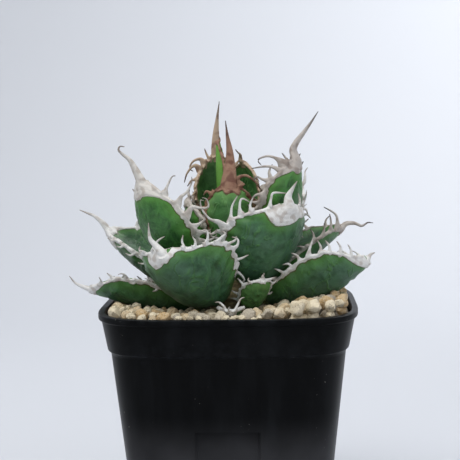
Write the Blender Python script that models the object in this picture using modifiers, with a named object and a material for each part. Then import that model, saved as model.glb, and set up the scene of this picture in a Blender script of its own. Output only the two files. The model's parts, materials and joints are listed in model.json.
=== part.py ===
"""Potted agave: a square nursery pot, growing mix, pumice top-dressing, a short stem and its leaves."""
import bpy
import bmesh
import math
from mathutils import Vector

# ---------------------------------------------------------------- sizes (metres)
MM = 0.001
OBJECT = "potted_agave"

POT_HALF = 52.5 * MM          # half width over the lip
POT_H = 95.0 * MM             # base to rim
POT_TAPER = 0.108             # how much the body narrows each side per unit of height
WALL = 1.2 * MM
FLOOR_T = 1.8 * MM
LIP_OVER = 1.1 * MM           # lip beyond the collar
LIP_H = 2.8 * MM
LIP_WIDE = 2.6 * MM           # lip ring seen from above
COLLAR_H = 14.9 * MM
COLLAR_TAPER = 0.21
STEP = 1.1 * MM               # collar beyond the body
FOOT_ROUND = 1.4 * MM
SQUARE_LIP = 4.4              # squareness of the plan outline at the lip
SQUARE_BODY = 4.9             # and below the collar
PLAN_POINTS = 56

PANEL_W = 26.0 * MM           # recessed panel in the middle of each side
PANEL_DROP = 45.0 * MM        # rim to the top of the panel
PANEL_DEEP = 1.5 * MM
PANEL_SLANT = 1.2 * MM
DRAIN_R = 3.6 * MM
DRAIN_AT = 24.0 * MM

GAP = 0.3 * MM                # between pieces that rest on each other
MIX_DROP = 13.0 * MM          # rim to the top of the growing mix
PUMICE_DROP = 2.6 * MM        # rim to the top of the pumice at the wall
PUMICE_DIP = 4.6 * MM         # how much lower it lies beside the stem
PUMICE_BUMP = 0.8 * MM
PUMICE_RINGS = 7

CORE_X = 2.0 * MM             # where the rosette stands in the pot
CORE_Y = -2.0 * MM
STEM_ROOT = 26.0 * MM         # how far the stem goes down below the rim
STEM_R = 10.6 * MM
STEM_POINTS = 28
BUD_UP = 26.5 * MM            # where the middle leaf starts, above the rim
BUD_CLEAR = 1.5 * MM          # stem top to the middle leaf
STEM_TOP = BUD_UP - BUD_CLEAR

MARGIN_T = 0.9 * MM           # thickness of a leaf at its horny edge
SPINE_POINT = 0.25 * MM

# Blade outline and thickness along a leaf, as shares of its widest half width and its thickest part.
OUTLINE = ((0.0, 0.38), (0.1, 0.55), (0.3, 0.87), (0.5, 0.99), (0.62, 1.0), (0.75, 0.92), (0.86, 0.70),
           (0.94, 0.42), (1.0, 0.16))
BODY = ((0.0, 0.62), (0.15, 0.85), (0.35, 1.0), (0.6, 0.88), (0.85, 0.6), (1.0, 0.42))
ACROSS = (-1.0, -0.55, 0.0, 0.55, 1.0)
SPINE_STEPS = (0.16, 0.42, 0.72, 1.0)

# Every leaf, oldest first.  heading: degrees round from the front, to the right; off, up: where it starts
# (mm clear of the stem at the underside of the blade, mm above the rim); rise: degrees above level at the
# stem and at the tip; then length, widest half width, thickness (mm), channel (half angle of the section,
# degrees), roll (degrees), terminal spine length (mm), its turn up and its turn sideways (degrees), teeth a
# side, tooth length (mm).
LEAVES = (
    ("leaf_01", -134, 1.40, 0.5, 0, 16, 40, 10.5, 4.5, 44, 0, 8, 10, 0, 4, 2.2),
    ("leaf_02", -1, 4.40, -0.9, 2, 12, 24, 5.0, 3.5, 40, 0, 4, 40, 0, 3, 1.8),
    ("leaf_03", 148, 1.40, 0.5, 0, 18, 42, 12.0, 4.5, 44, 0, 8, 10, 0, 4, 2.2),
    ("leaf_04", -86.6, 3.4, -0.6, 7.5, 12, 47, 12.4, 5, 51, 10, 9, 22, 0, 5, 2.6),
    ("leaf_05", 76, 1.90, 4.0, 6, 34, 46.5, 16.0, 7.0, 57, -10, 4, -10, 0, 5, 3.0),
    ("leaf_06", -170, 0.40, 5.5, 14, 36, 44, 14.0, 5.5, 46, 0, 9, 10, 0, 5, 2.6),
    ("leaf_07", -31, 1.09, 7.2, 8, 46, 43, 19.54, 9.26, 52, 12, 11, 45, 0, 5, 3.6),
    ("leaf_08", 111, 0.55, 8.0, 29, 30, 45, 12.0, 4.6, 44, 0, 14, -20, 0, 5, 3.0),
    ("leaf_09", -108, 0.4, 7.0, 13, 40, 52, 15.0, 6.0, 46, -8, 15, -10, 0, 5, 3.0),
    ("leaf_10", 43, 0.5, 10.2, 42, 66, 40, 20.5, 7.2, 44, 0, 11, 10, 0, 5, 4.0),
    ("leaf_11", 172, 0.5, 11.0, 36, 60, 42, 15.0, 6.0, 44, 0, 10, 10, 0, 5, 3.0),
    ("leaf_12", -57, 1.79, 13.0, 16, 86, 54, 17.5, 6.0, 40, 0, 13, -60, 0, 5, 3.4),
    ("leaf_13", 69, 2.65, 18.8, 44, 86, 45.5, 15.2, 5.5, 44, 0, 21, -38, 0, 5, 3.0),
    ("leaf_14", -137.1, 2.89, 17, 38.1, 71.2, 29, 11.12, 4.86, 42.2, 0, 5, 10, 0, 5, 2.6),
    ("leaf_15", -4.1, 4, 20.26, 65.6, 96, 31, 10.43, 5, 46, 0, 25.5, 6, 0, 4, 2.4),
    ("leaf_16", 140, 1.24, 19.5, 54, 68.2, 32.6, 11.5, 4.6, 40.9, 0, 9, 10, 0, 5, 2.4),
    ("leaf_17", -150, 1.2, 24.0, 50, 104, 39, 14.2, 4, 46.9, 3.4, 22, -12, 0, 4, 2.2),
    ("leaf_18", 138, 0.5, 25.5, 58, 112, 33.5, 11, 3.6, 46, 0, 7, 20, 0, 4, 2.0),
    ("leaf_19", 24, 1.90, -0.5, 26, 50, 22, 6.5, 3.5, 40, 0, 3, 10, 0, 3, 1.8),
    ("leaf_20", -90, -1.23, BUD_UP / MM, 82, 86, 37, 3.6, 3.2, 50, 0, 6, 0, 0, 0, 0.0),
    ("leaf_21", -86, 0.8, 18.54, 44.6, 84, 27.81, 10.93, 4.03, 41.8, -1.2, 5, 10, 0, 5, 2.4),
    ("leaf_22", 118.7, 1.46, 13.65, 43.7, 63.4, 40.21, 12.03, 3.62, 33.3, 6.6, 10, 10, 0, 5, 2.6),
)

BLACK_PLASTIC = (0.012, 0.013, 0.015)
MIX_BROWN = (0.052, 0.036, 0.024)
PUMICE_CREAM = (0.60, 0.53, 0.39)
STEM_TAN = (0.30, 0.27, 0.16)
LEAF_GREENS = ((0.045, 0.125, 0.052), (0.052, 0.135, 0.068), (0.040, 0.112, 0.045))


# ---------------------------------------------------------------- helpers
def clear_scene():
    for thing in list(bpy.data.objects):
        bpy.data.objects.remove(thing, do_unlink=True)


def collection(name):
    made = bpy.data.collections.new(name)
    bpy.context.scene.collection.children.link(made)
    return made


def material(name, colour, roughness):
    made = bpy.data.materials.new(name)
    made.use_nodes = True
    shader = made.node_tree.nodes["Principled BSDF"]
    shader.inputs["Base Color"].default_value = (*colour, 1.0)
    shader.inputs["Roughness"].default_value = roughness
    made.diffuse_color = (*colour, 1.0)
    return made


def lofted(name, rings, owner, close_start=True, close_end=True):
    """One closed body through a list of rings that all have the same number of points."""
    points = len(rings[0])
    verts = [co for ring in rings for co in ring]
    faces = []
    for i in range(len(rings) - 1):
        for j in range(points):
            k = (j + 1) % points
            faces.append((i * points + j, i * points + k, (i + 1) * points + k, (i + 1) * points + j))
    if close_start:
        faces.append(tuple(range(points))[::-1])
    if close_end:
        faces.append(tuple((len(rings) - 1) * points + j for j in range(points)))
    mesh = bpy.data.meshes.new(name)
    mesh.from_pydata(verts, [], faces)
    work = bmesh.new()
    work.from_mesh(mesh)
    bmesh.ops.recalc_face_normals(work, faces=work.faces)
    work.to_mesh(mesh)
    work.free()
    made = bpy.data.objects.new(name, mesh)
    owner.objects.link(made)
    return made


def smooth(thing, angle=35.0):
    thing.data.shade_smooth()
    thing.data.set_sharp_from_angle(angle=math.radians(angle))


def plan_ring(half, squareness, height, count=PLAN_POINTS):
    """A rounded square seen from above."""
    ring = []
    for k in range(count):
        turn = 2.0 * math.pi * (k + 0.5) / count
        c, s = math.cos(turn), math.sin(turn)
        x = half * math.copysign(abs(c) ** (2.0 / squareness), c)
        y = half * math.copysign(abs(s) ** (2.0 / squareness), s)
        ring.append(Vector((x, y, height)))
    return ring


def cut(target, cutter):
    step = target.modifiers.new("cut", "BOOLEAN")
    step.operation = "DIFFERENCE"
    step.solver = "EXACT"
    step.object = cutter


def settle(thing):
    """Bake the modifiers into the mesh."""
    shape = bpy.context.evaluated_depsgraph_get()
    shape.update()
    mesh = bpy.data.meshes.new_from_object(thing.evaluated_get(shape))
    thing.modifiers.clear()
    old = thing.data
    thing.data = mesh
    bpy.data.meshes.remove(old)
    mesh.name = thing.name


def lookup(table, at):
    for (a, low), (b, high) in zip(table, table[1:]):
        if at <= b:
            share = (at - a) / (b - a)
            return low + (high - low) * share
    return table[-1][1]


# ---------------------------------------------------------------- pot
def body_half(drop):
    """Half width of the body outside, a given depth below the rim."""
    top = POT_HALF - LIP_OVER - COLLAR_TAPER * (COLLAR_H - LIP_H) - STEP
    return top - POT_TAPER * (drop - COLLAR_H)


def collar_half(drop):
    return POT_HALF - LIP_OVER - COLLAR_TAPER * (drop - LIP_H)


def outer_profile():
    """Half width, squareness and height of each ring outside the pot, from the foot up."""
    foot = body_half(POT_H)
    return [
        (foot - FOOT_ROUND, SQUARE_BODY, 0.0),
        (foot - 0.3 * FOOT_ROUND, SQUARE_BODY, 0.3 * FOOT_ROUND),
        (foot, SQUARE_BODY, FOOT_ROUND),
        (body_half(COLLAR_H + 1.1 * STEP), SQUARE_BODY, POT_H - COLLAR_H - 1.1 * STEP),
        (body_half(COLLAR_H) + 0.25 * STEP, SQUARE_BODY, POT_H - COLLAR_H - 0.3 * STEP),
        (collar_half(COLLAR_H) - 0.15 * STEP, SQUARE_BODY, POT_H - COLLAR_H),
        (collar_half(COLLAR_H), SQUARE_BODY, POT_H - COLLAR_H + 0.4 * STEP),
        (collar_half(LIP_H + 0.5 * MM), SQUARE_LIP, POT_H - LIP_H - 0.5 * MM),
        (collar_half(LIP_H), SQUARE_LIP, POT_H - LIP_H),
        (POT_HALF - 0.3 * MM, SQUARE_LIP, POT_H - LIP_H + 0.2 * MM),
        (POT_HALF, SQUARE_LIP, POT_H - LIP_H + 0.8 * MM),
        (POT_HALF, SQUARE_LIP, POT_H - 0.8 * MM),
        (POT_HALF - 0.5 * MM, SQUARE_LIP, POT_H),
    ]


def inner_profile():
    """The same for the inside, from the rim down to the floor."""
    return [
        (POT_HALF - LIP_WIDE + 0.5 * MM, SQUARE_LIP, POT_H),
        (POT_HALF - LIP_WIDE, SQUARE_LIP, POT_H - 0.6 * MM),
        (inner_half(LIP_H + 1.0 * MM), SQUARE_LIP, POT_H - LIP_H - 1.0 * MM),
        (inner_half(COLLAR_H), SQUARE_BODY, POT_H - COLLAR_H),
        (inner_half(COLLAR_H + 1.6 * STEP), SQUARE_BODY, POT_H - COLLAR_H - 1.6 * STEP),
        (inner_half(POT_H - FLOOR_T - FOOT_ROUND), SQUARE_BODY, FLOOR_T + FOOT_ROUND),
        (inner_half(POT_H - FLOOR_T) - FOOT_ROUND, SQUARE_BODY, FLOOR_T),
    ]


def inner_half(drop):
    if drop <= COLLAR_H:
        return collar_half(drop) - WALL - 0.6 * STEP
    return body_half(drop) - WALL


def panel_cutter(name, heading, grow, owner):
    """A wedge-sided block that sinks a panel into one side of the pot, down to the foot."""
    top = POT_H - PANEL_DROP + grow
    rings = []
    for height in (-2.0 * MM, top):
        face = body_half(POT_H - height)
        near = face - PANEL_DEEP - grow
        far = face + 4.0 * MM
        inside = PANEL_W / 2.0 - PANEL_SLANT + grow
        outside = PANEL_W / 2.0 + PANEL_SLANT * 4.0 * MM / PANEL_DEEP + grow
        lift = 0.0 if height < 0.0 else -PANEL_SLANT * 0.4
        rings.append([
            Vector((-inside, -near, height + lift)), Vector((inside, -near, height + lift)),
            Vector((outside, -far, height)), Vector((-outside, -far, height)),
        ])
    made = lofted(name, rings, owner)
    made.rotation_euler.z = math.radians(heading)
    made.hide_render = True
    made.display_type = "WIRE"
    return made


def drain_cutter(name, x, y, owner):
    bpy.ops.mesh.primitive_cylinder_add(vertices=20, radius=DRAIN_R, depth=4.0 * FLOOR_T,
                                        location=(x, y, FLOOR_T / 2))
    made = bpy.context.object
    made.name = name
    for held in list(made.users_collection):
        held.objects.unlink(made)
    owner.objects.link(made)
    made.hide_render = True
    made.display_type = "WIRE"
    return made


def build_pot(owner, cutters):
    pot = lofted("pot", [plan_ring(*ring) for ring in outer_profile()], owner)
    hollow_rings = [plan_ring(*ring) for ring in inner_profile()]
    lid = [co + Vector((0.0, 0.0, 5.0 * MM)) for co in hollow_rings[0]]
    hollow = lofted("pot_hollow", [lid] + hollow_rings, cutters)
    hollow.hide_render = True
    hollow.display_type = "WIRE"
    for side in range(4):
        cut(hollow, panel_cutter("panel_inside_%d" % side, 90.0 * side, WALL, cutters))
        cut(pot, panel_cutter("panel_%d" % side, 90.0 * side, 0.0, cutters))
    settle(hollow)
    cut(pot, hollow)
    for k in range(4):
        turn = math.radians(45.0 + 90.0 * k)
        cut(pot, drain_cutter("drain_%d" % k, DRAIN_AT * math.cos(turn), DRAIN_AT * math.sin(turn), cutters))
    settle(pot)
    smooth(pot, 28.0)
    pot.data.materials.clear()
    pot.data.materials.append(material("black moulded plastic", BLACK_PLASTIC, 0.38))
    return pot


# ---------------------------------------------------------------- what fills it
def stem_table():
    """Depth below the rim and radius of each ring of the stem, from its top down."""
    shares = ((1.0, 0.21), (0.92, 0.30), (0.72, 0.49), (0.52, 0.62), (0.32, 0.77), (0.12, 1.0), (-0.12, 1.0))
    above = [(-STEM_TOP * up, STEM_R * wide) for up, wide in shares]
    below = [(STEM_ROOT * 0.35, 0.9 * STEM_R), (STEM_ROOT - 6.0 * MM, 0.6 * STEM_R), (STEM_ROOT, 0.25 * STEM_R)]
    return above + below


def stem_radius(drop):
    """Radius of the stem a given depth below the rim; negative depths stand above it."""
    return lookup(stem_table(), max(drop, -STEM_TOP))


def build_stem(owner):
    profile = bpy.data.meshes.new("stem_profile")
    verts = [(0.0, 0.0, STEM_TOP)]
    verts += [(wide, 0.0, -drop) for drop, wide in stem_table()]
    verts += [(0.0, 0.0, -STEM_ROOT)]
    profile.from_pydata(verts, [(k, k + 1) for k in range(len(verts) - 1)], [])
    stem = bpy.data.objects.new("stem", profile)
    owner.objects.link(stem)
    turn = stem.modifiers.new("turn", "SCREW")
    turn.axis = "Z"
    turn.angle = 2.0 * math.pi
    turn.steps = STEM_POINTS
    turn.render_steps = STEM_POINTS
    turn.use_merge_vertices = True
    turn.merge_threshold = 0.0001 * MM
    settle(stem)
    work = bmesh.new()
    work.from_mesh(stem.data)
    bmesh.ops.remove_doubles(work, verts=work.verts, dist=0.00001)
    bmesh.ops.recalc_face_normals(work, faces=work.faces)
    work.to_mesh(stem.data)
    work.free()
    stem.location = (CORE_X, CORE_Y, POT_H)
    smooth(stem, 40.0)
    stem.data.materials.append(material("corky stem", STEM_TAN, 0.85))
    return stem


def build_mix(owner, cutters):
    """Growing mix: fills the pot to a gap from the wall, with a hole for the stem and its taproot."""
    foot = POT_H - FLOOR_T - GAP
    levels = (MIX_DROP, COLLAR_H, COLLAR_H + 1.6 * STEP, foot - FOOT_ROUND, foot)
    rings = []
    for drop in levels:
        half = inner_half(drop) - 2.0 * GAP
        if drop >= POT_H - FLOOR_T - 2.0 * GAP:
            half -= FOOT_ROUND
        rings.append(plan_ring(half, SQUARE_BODY, POT_H - drop))
    mix = lofted("growing_mix", rings, owner)
    for side in range(4):
        cut(mix, panel_cutter("panel_mix_%d" % side, 90.0 * side, WALL + 2.0 * GAP, cutters))
    hole = []
    for drop in (MIX_DROP - 4.0 * MM, STEM_ROOT - 6.0 * MM, STEM_ROOT, STEM_ROOT + GAP):
        radius = stem_radius(drop) + 1.6 * GAP
        hole.append([Vector((CORE_X + radius * math.cos(2.0 * math.pi * (k + 0.5) / STEM_POINTS),
                             CORE_Y + radius * math.sin(2.0 * math.pi * (k + 0.5) / STEM_POINTS),
                             POT_H - drop)) for k in range(STEM_POINTS)])
    socket = lofted("stem_hole", hole, cutters)
    socket.hide_render = True
    socket.display_type = "WIRE"
    cut(mix, socket)
    settle(mix)
    smooth(mix, 30.0)
    mix.data.materials.clear()
    mix.data.materials.append(material("growing mix", MIX_BROWN, 0.95))
    return mix


def bumps(x, y):
    """Repeatable stony unevenness between -1 and 1."""
    a = math.sin(x / MM * 1.31 + 0.7 * math.sin(y / MM * 0.53)) * math.cos(y / MM * 1.17 + 1.3)
    b = math.sin(x / MM * 0.47 + y / MM * 0.71 + 2.1)
    return 0.65 * a + 0.35 * b


def build_pumice(owner):
    """Pumice top-dressing: one layer from the stem to the wall, lying lower under the leaves."""
    bottom = POT_H - MIX_DROP + GAP
    outer = plan_ring(1.0, SQUARE_LIP, 0.0)
    hole = STEM_R + 2.0 * MM
    rings = []
    limit = inner_half(PUMICE_DROP + 1.2 * MM) - 2.0 * GAP
    for step in range(PUMICE_RINGS + 1):
        share = (step / PUMICE_RINGS) ** 0.8
        ring = []
        for k, co in enumerate(outer):
            turn = math.atan2(co.y, co.x)
            inside = Vector((CORE_X + hole * math.cos(turn), CORE_Y + hole * math.sin(turn), 0.0))
            outside = Vector((co.x * limit, co.y * limit, 0.0))
            spot = inside.lerp(outside, share)
            lift = -PUMICE_DROP - PUMICE_DIP * (1.0 - share) ** 1.4 + PUMICE_BUMP * bumps(spot.x, spot.y)
            ring.append(Vector((spot.x, spot.y, POT_H + lift)))
        rings.append(ring)
    reach = inner_half(MIX_DROP) - 2.0 * GAP
    low_out = [Vector((co.x * reach, co.y * reach, bottom)) for co in outer]
    low_in = [Vector((co.x, co.y, bottom)) for co in rings[0]]
    made = lofted("pumice_layer", rings + [low_out, low_in, rings[0]], owner, False, False)
    work = bmesh.new()
    work.from_mesh(made.data)
    bmesh.ops.remove_doubles(work, verts=work.verts, dist=0.00001)
    bmesh.ops.recalc_face_normals(work, faces=work.faces)
    work.to_mesh(made.data)
    work.free()
    smooth(made, 60.0)
    made.data.materials.append(material("cream pumice", PUMICE_CREAM, 0.9))
    return made


# ---------------------------------------------------------------- leaves
def leaf_line(rise_low, rise_high, length, spine, spine_up, spine_side):
    """Stations along the middle of a leaf that points to -Y: place, forward, sideways and inner direction."""
    stations = []
    place = Vector((0.0, 0.0, 0.0))
    steps = 48
    for k in range(steps + 1):
        share = k / steps
        rise = math.radians(rise_low + (rise_high - rise_low) * share)
        stations.append((share, place.copy(), rise, 0.0))
        middle = math.radians(rise_low + (rise_high - rise_low) * (share + 0.5 / steps))
        if k < steps:
            place += Vector((0.0, -math.cos(middle), math.sin(middle))) * (length / steps)
    for k in range(steps):
        share = (k + 0.5) / steps
        rise = math.radians(rise_high + spine_up * share)
        side = math.radians(spine_side * share)
        ahead = Vector((math.sin(side) * math.cos(rise), -math.cos(side) * math.cos(rise), math.sin(rise)))
        place += ahead * (spine / steps)
        stations.append((1.0 + (k + 1) / steps, place.copy(), rise, side))
    return stations


def leaf_frame(stations, at, roll):
    share, place, rise, side = min(stations, key=lambda item: abs(item[0] - at))
    ahead = Vector((math.sin(side) * math.cos(rise), -math.cos(side) * math.cos(rise), math.sin(rise)))
    across = Vector((math.cos(side), math.sin(side), 0.0))
    inner = ahead.cross(across)
    turn = math.radians(roll)
    return (place, ahead, across * math.cos(turn) + inner * math.sin(turn),
            inner * math.cos(turn) - across * math.sin(turn))


def blade_section(frame, at, width, thick, channel, tooth, hook):
    """Ring of points round a blade: its inner face left to right, then its outer face back."""
    place, ahead, across, inner = frame
    half = width * lookup(OUTLINE, at)
    deep = thick * lookup(BODY, at)
    opening = (0.45 + 0.55 * min(1.0, at / 0.5)) * (1.0 - 0.6 * max(0.0, at - 0.8) / 0.2)
    bend = math.radians(channel * opening)
    radius = half / math.sin(bend)
    upper, lower = [], []
    for u in ACROSS:
        x = radius * math.sin(u * bend)
        z = radius * (1.0 - math.cos(u * bend))
        solid = max(MARGIN_T, deep * (1.0 - abs(u) ** 2.4) + 0.1 * deep)
        top = place + across * x + inner * z
        low = place + across * x + inner * (z - solid)
        if abs(u) == 1.0 and tooth > 0.0:
            out = across * (u * math.cos(bend)) + inner * math.sin(bend)
            middle = (top + low) / 2.0 + out * tooth + ahead * hook
            top = middle + inner * 0.2 * MM
            low = middle - inner * 0.2 * MM
        upper.append(top)
        lower.append(low)
    return upper + lower[::-1]


def spine_section(frame, share, width, thick):
    """Ring round the terminal spine, tapering to a blunt point."""
    place, ahead, across, inner = frame
    wide = width * OUTLINE[-1][1] * (1.0 - share) ** 0.8 + SPINE_POINT
    deep = thick * BODY[-1][1] * 0.55 * (1.0 - share) ** 0.8 + SPINE_POINT
    centre = place - inner * (thick * BODY[-1][1] * 0.45 * (1.0 - share))
    upper, lower = [], []
    for u in ACROSS:
        turn = u * math.pi * 0.42
        upper.append(centre + across * wide * math.sin(turn) + inner * deep * math.cos(turn) * 0.8)
        lower.append(centre + across * wide * math.sin(turn) - inner * deep * math.cos(turn))
    return upper + lower[::-1]


def tooth_places(count, order):
    """Where the teeth sit along a leaf, slightly uneven from leaf to leaf."""
    spots = []
    for k in range(count):
        even = 0.24 + 0.60 * k / max(1, count - 1)
        spots.append(even + 0.025 * math.sin(2.3 * k + 1.7 * order))
    return spots


def build_leaf(order, row, owner):
    (name, heading, off, up, rise_low, rise_high, length, width, thick, channel, roll, spine, spine_up, spine_side,
     teeth, tooth) = row
    length, width, thick, spine, tooth = (v * MM for v in (length, width, thick, spine, tooth))
    stations = leaf_line(rise_low, rise_high, length, spine, spine_up, spine_side)
    cuts = {0.0: 0.0, 0.1: 0.0, 0.93: 0.0, 1.0: 0.0}
    for k, spot in enumerate(tooth_places(teeth, order)):
        size = tooth * (0.7 + 0.3 * math.sin(math.pi * (k + 0.7) / teeth))
        cuts[spot - 0.030] = 0.0
        cuts[spot] = size
        cuts[spot + 0.034] = 0.0
    rings = []
    for at in sorted(cuts):
        hook = (-0.25 + 0.5 * ((order + round(at * 40)) % 3) / 2.0) * cuts[at]
        rings.append(blade_section(leaf_frame(stations, at, roll), at, width, thick, channel, cuts[at], hook))
    for share in SPINE_STEPS:
        rings.append(spine_section(leaf_frame(stations, 1.0 + share, roll), share, width, thick))
    leaf = lofted(name, rings, owner)
    turn = math.radians(heading)
    foot = up * MM - thick * BODY[0][1] * math.cos(math.radians(rise_low))
    out = stem_radius(-foot) + off * MM
    leaf.location = (CORE_X + out * math.sin(turn), CORE_Y - out * math.cos(turn), POT_H + up * MM)
    leaf.rotation_euler.z = turn
    smooth(leaf, 50.0)
    leaf.data.materials.append(material(name + " green", LEAF_GREENS[order % 3], 0.42))
    return leaf


# ---------------------------------------------------------------- build
def build():
    clear_scene()
    owner = collection(OBJECT)
    cutters = collection("cutters")
    build_pot(owner, cutters)
    build_mix(owner, cutters)
    build_pumice(owner)
    build_stem(owner)
    for order, row in enumerate(LEAVES):
        build_leaf(order, row, owner)


build()
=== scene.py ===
"""Potted agave: a compact rosette with horny white leaf edges, in a square nursery pot topped with pumice.

Each maker below builds one piece, or one group of like pieces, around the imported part.
"""

import json
import math
import random

import bmesh
import bpy
import numpy as np
from mathutils import Matrix, Vector, noise
from mathutils.bvhtree import BVHTree
from mathutils.kdtree import KDTree

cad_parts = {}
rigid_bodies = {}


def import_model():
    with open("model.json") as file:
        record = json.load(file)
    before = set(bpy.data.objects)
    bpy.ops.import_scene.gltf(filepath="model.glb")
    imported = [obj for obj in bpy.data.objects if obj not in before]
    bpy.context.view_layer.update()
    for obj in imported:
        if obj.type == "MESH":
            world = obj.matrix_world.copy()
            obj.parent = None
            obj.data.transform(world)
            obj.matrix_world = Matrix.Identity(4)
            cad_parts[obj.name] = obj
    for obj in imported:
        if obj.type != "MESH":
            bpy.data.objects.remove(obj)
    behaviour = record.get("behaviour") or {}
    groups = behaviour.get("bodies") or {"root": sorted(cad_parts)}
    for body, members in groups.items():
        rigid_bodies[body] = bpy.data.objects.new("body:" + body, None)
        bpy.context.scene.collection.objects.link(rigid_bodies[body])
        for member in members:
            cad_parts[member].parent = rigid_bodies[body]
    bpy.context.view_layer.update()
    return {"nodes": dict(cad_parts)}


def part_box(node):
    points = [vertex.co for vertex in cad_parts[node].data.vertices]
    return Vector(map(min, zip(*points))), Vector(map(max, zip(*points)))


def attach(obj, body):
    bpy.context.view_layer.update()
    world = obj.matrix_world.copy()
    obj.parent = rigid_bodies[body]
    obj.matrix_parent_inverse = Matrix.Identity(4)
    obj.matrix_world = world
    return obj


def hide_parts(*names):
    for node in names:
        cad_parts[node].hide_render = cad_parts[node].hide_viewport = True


bl_info = {
    "name": "Potted Agave",
    "version": (1, 0, 0),
    "blender": (4, 5, 0),
    "location": "View3D > Sidebar > Agave",
    "description": "Makes a compact agave rosette in a square nursery pot topped with pumice",
    "category": "Add Mesh",
}

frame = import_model()

MM = 0.001
BODY = "root"
POT_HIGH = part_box("pot")[1]
RIM = POT_HIGH.z                      # the pot's rim, where every leaf height starts
POT_HALF = POT_HIGH.x                 # half the pot's width over its lip
CORE = Vector((2.0 * MM, -2.0 * MM))  # where the rosette stands in the pot
STEM_R = 10.6 * MM
STEM_TOP = 25.0 * MM
MARGIN_T = 0.9 * MM                   # a leaf's thickness at its edge
CAP_LATEST = 0.985                    # the furthest along a leaf that its cap may start
FOLDS_PER_M = 420.0                   # how close together the darker patches of the horn lie: partly stain, partly painted shade of its folds

# Blade outline and thickness along a leaf, as shares of its widest half width and its thickest part.
OUTLINE = ((0.0, 0.38), (0.1, 0.55), (0.3, 0.87), (0.5, 0.99), (0.62, 1.0), (0.75, 0.92), (0.86, 0.70),
           (0.94, 0.42), (1.0, 0.16))
THICKNESS = ((0.0, 0.62), (0.15, 0.85), (0.35, 1.0), (0.6, 0.88), (0.85, 0.6), (1.0, 0.42))
# The stem's radius, as a share of STEM_R, against its depth below the rim, as a share of STEM_TOP; a depth
# under zero is above the rim.
STEM_TABLE = ((-1.0, 0.21), (-0.92, 0.30), (-0.72, 0.49), (-0.52, 0.62), (-0.32, 0.77), (-0.12, 1.0),
              (0.12, 1.0))

# Every leaf, oldest first: heading (degrees round from the front, to the right), mm clear of the stem, mm
# above the rim, rise at the stem and at the tip (degrees), length, half width, thickness (mm), half angle
# of its section (degrees), roll (degrees), tip spine (mm), how far the spine turns up (degrees), where the
# cap of horn starts on the outer face (share of the length), skin, horn. The blade of leaf_20, the closed
# bud, runs on almost to its point.
LEAVES = (
    ("leaf_01", -134, 1.40, 0.5, 0, 16, 40, 10.5, 4.5, 44, 0, 8, 10, 0.93, "blue", "white"),
    ("leaf_02", -1, 4.40, -0.9, 2, 12, 24, 5.0, 3.5, 40, 0, 4, 40, 0.70, "deep", "white"),
    ("leaf_03", 148, 1.40, 0.5, 0, 18, 42, 12.0, 4.5, 44, 0, 8, 10, 0.93, "blue", "white"),
    ("leaf_04", -86.6, 3.4, -0.6, 7.5, 12, 47, 12.4, 5, 51, 10, 9, 22, 0.93, "blue", "white"),
    ("leaf_05", 76, 1.90, 4.0, 6, 34, 46.5, 16.0, 7.0, 57, -10, 4, -10, 0.96, "blue", "white"),
    ("leaf_06", -170, 0.40, 5.5, 14, 36, 44, 14.0, 5.5, 46, 0, 9, 10, 0.88, "deep", "white"),
    ("leaf_07", -31, 1.09, 7.2, 8, 46, 43, 19.54, 9.26, 52, 12, 11, 45, 0.88, "blue", "white"),
    ("leaf_08", 111, 0.55, 8.0, 29, 30, 45, 12.0, 4.6, 44, 0, 14, -20, 0.90, "blue", "taupe"),
    ("leaf_09", -108, 0.4, 7.0, 13, 40, 52, 15.0, 6.0, 46, -8, 15, -10, 0.86, "deep", "white"),
    ("leaf_10", 43, 0.5, 10.2, 42, 66, 40, 20.5, 7.2, 44, 0, 11, 10, 0.80, "blue", "white"),
    ("leaf_11", 172, 0.5, 11.0, 36, 60, 42, 15.0, 6.0, 44, 0, 10, 10, 0.84, "deep", "white"),
    ("leaf_12", -57, 1.79, 13.0, 16, 86, 54, 17.5, 6.0, 40, 0, 13, -60, 0.80, "mid", "grey"),
    ("leaf_13", 69, 2.65, 18.8, 44, 86, 45.5, 15.2, 5.5, 44, 0, 21, -38, 0.80, "mid", "taupe"),
    ("leaf_14", -137.1, 2.89, 17, 38.1, 71.2, 29, 11.12, 4.86, 42.2, 0, 5, 10, 0.86, "deep", "taupe"),
    ("leaf_15", -4.1, 4, 20.26, 65.6, 96, 31, 10.43, 5, 46, 0, 25.5, 6, 0.80, "fresh", "brown"),
    ("leaf_16", 140, 1.24, 19.5, 54, 68.2, 32.6, 11.5, 4.6, 40.9, 0, 9, 10, 0.84, "deep", "taupe"),
    ("leaf_17", -150, 1.2, 24.0, 50, 104, 39, 14.2, 4, 46.9, 3.4, 22, -12, 0.93, "fresh", "tan"),
    ("leaf_18", 138, 0.5, 25.5, 58, 112, 33.5, 11, 3.6, 46, 0, 7, 20, 0.90, "fresh", "tan"),
    ("leaf_19", 24, 1.90, -0.5, 26, 50, 22, 6.5, 3.5, 40, 0, 3, 10, 0.95, "fresh", "white"),
    ("leaf_20", -90, -1.23, 26.5, 82, 86, 41, 3.6, 3.2, 50, 0, 2, 0, 0.98, "bud", "brown"),
    ("leaf_21", -86, 0.8, 18.54, 44.6, 84, 27.81, 10.93, 4.03, 41.8, -1.2, 5, 10, 0.90, "mid", "taupe"),
    ("leaf_22", 118.7, 1.46, 13.65, 43.7, 63.4, 40.21, 12.03, 3.62, 33.3, 6.6, 10, 10, 0.86, "deep", "white"),
)

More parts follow.
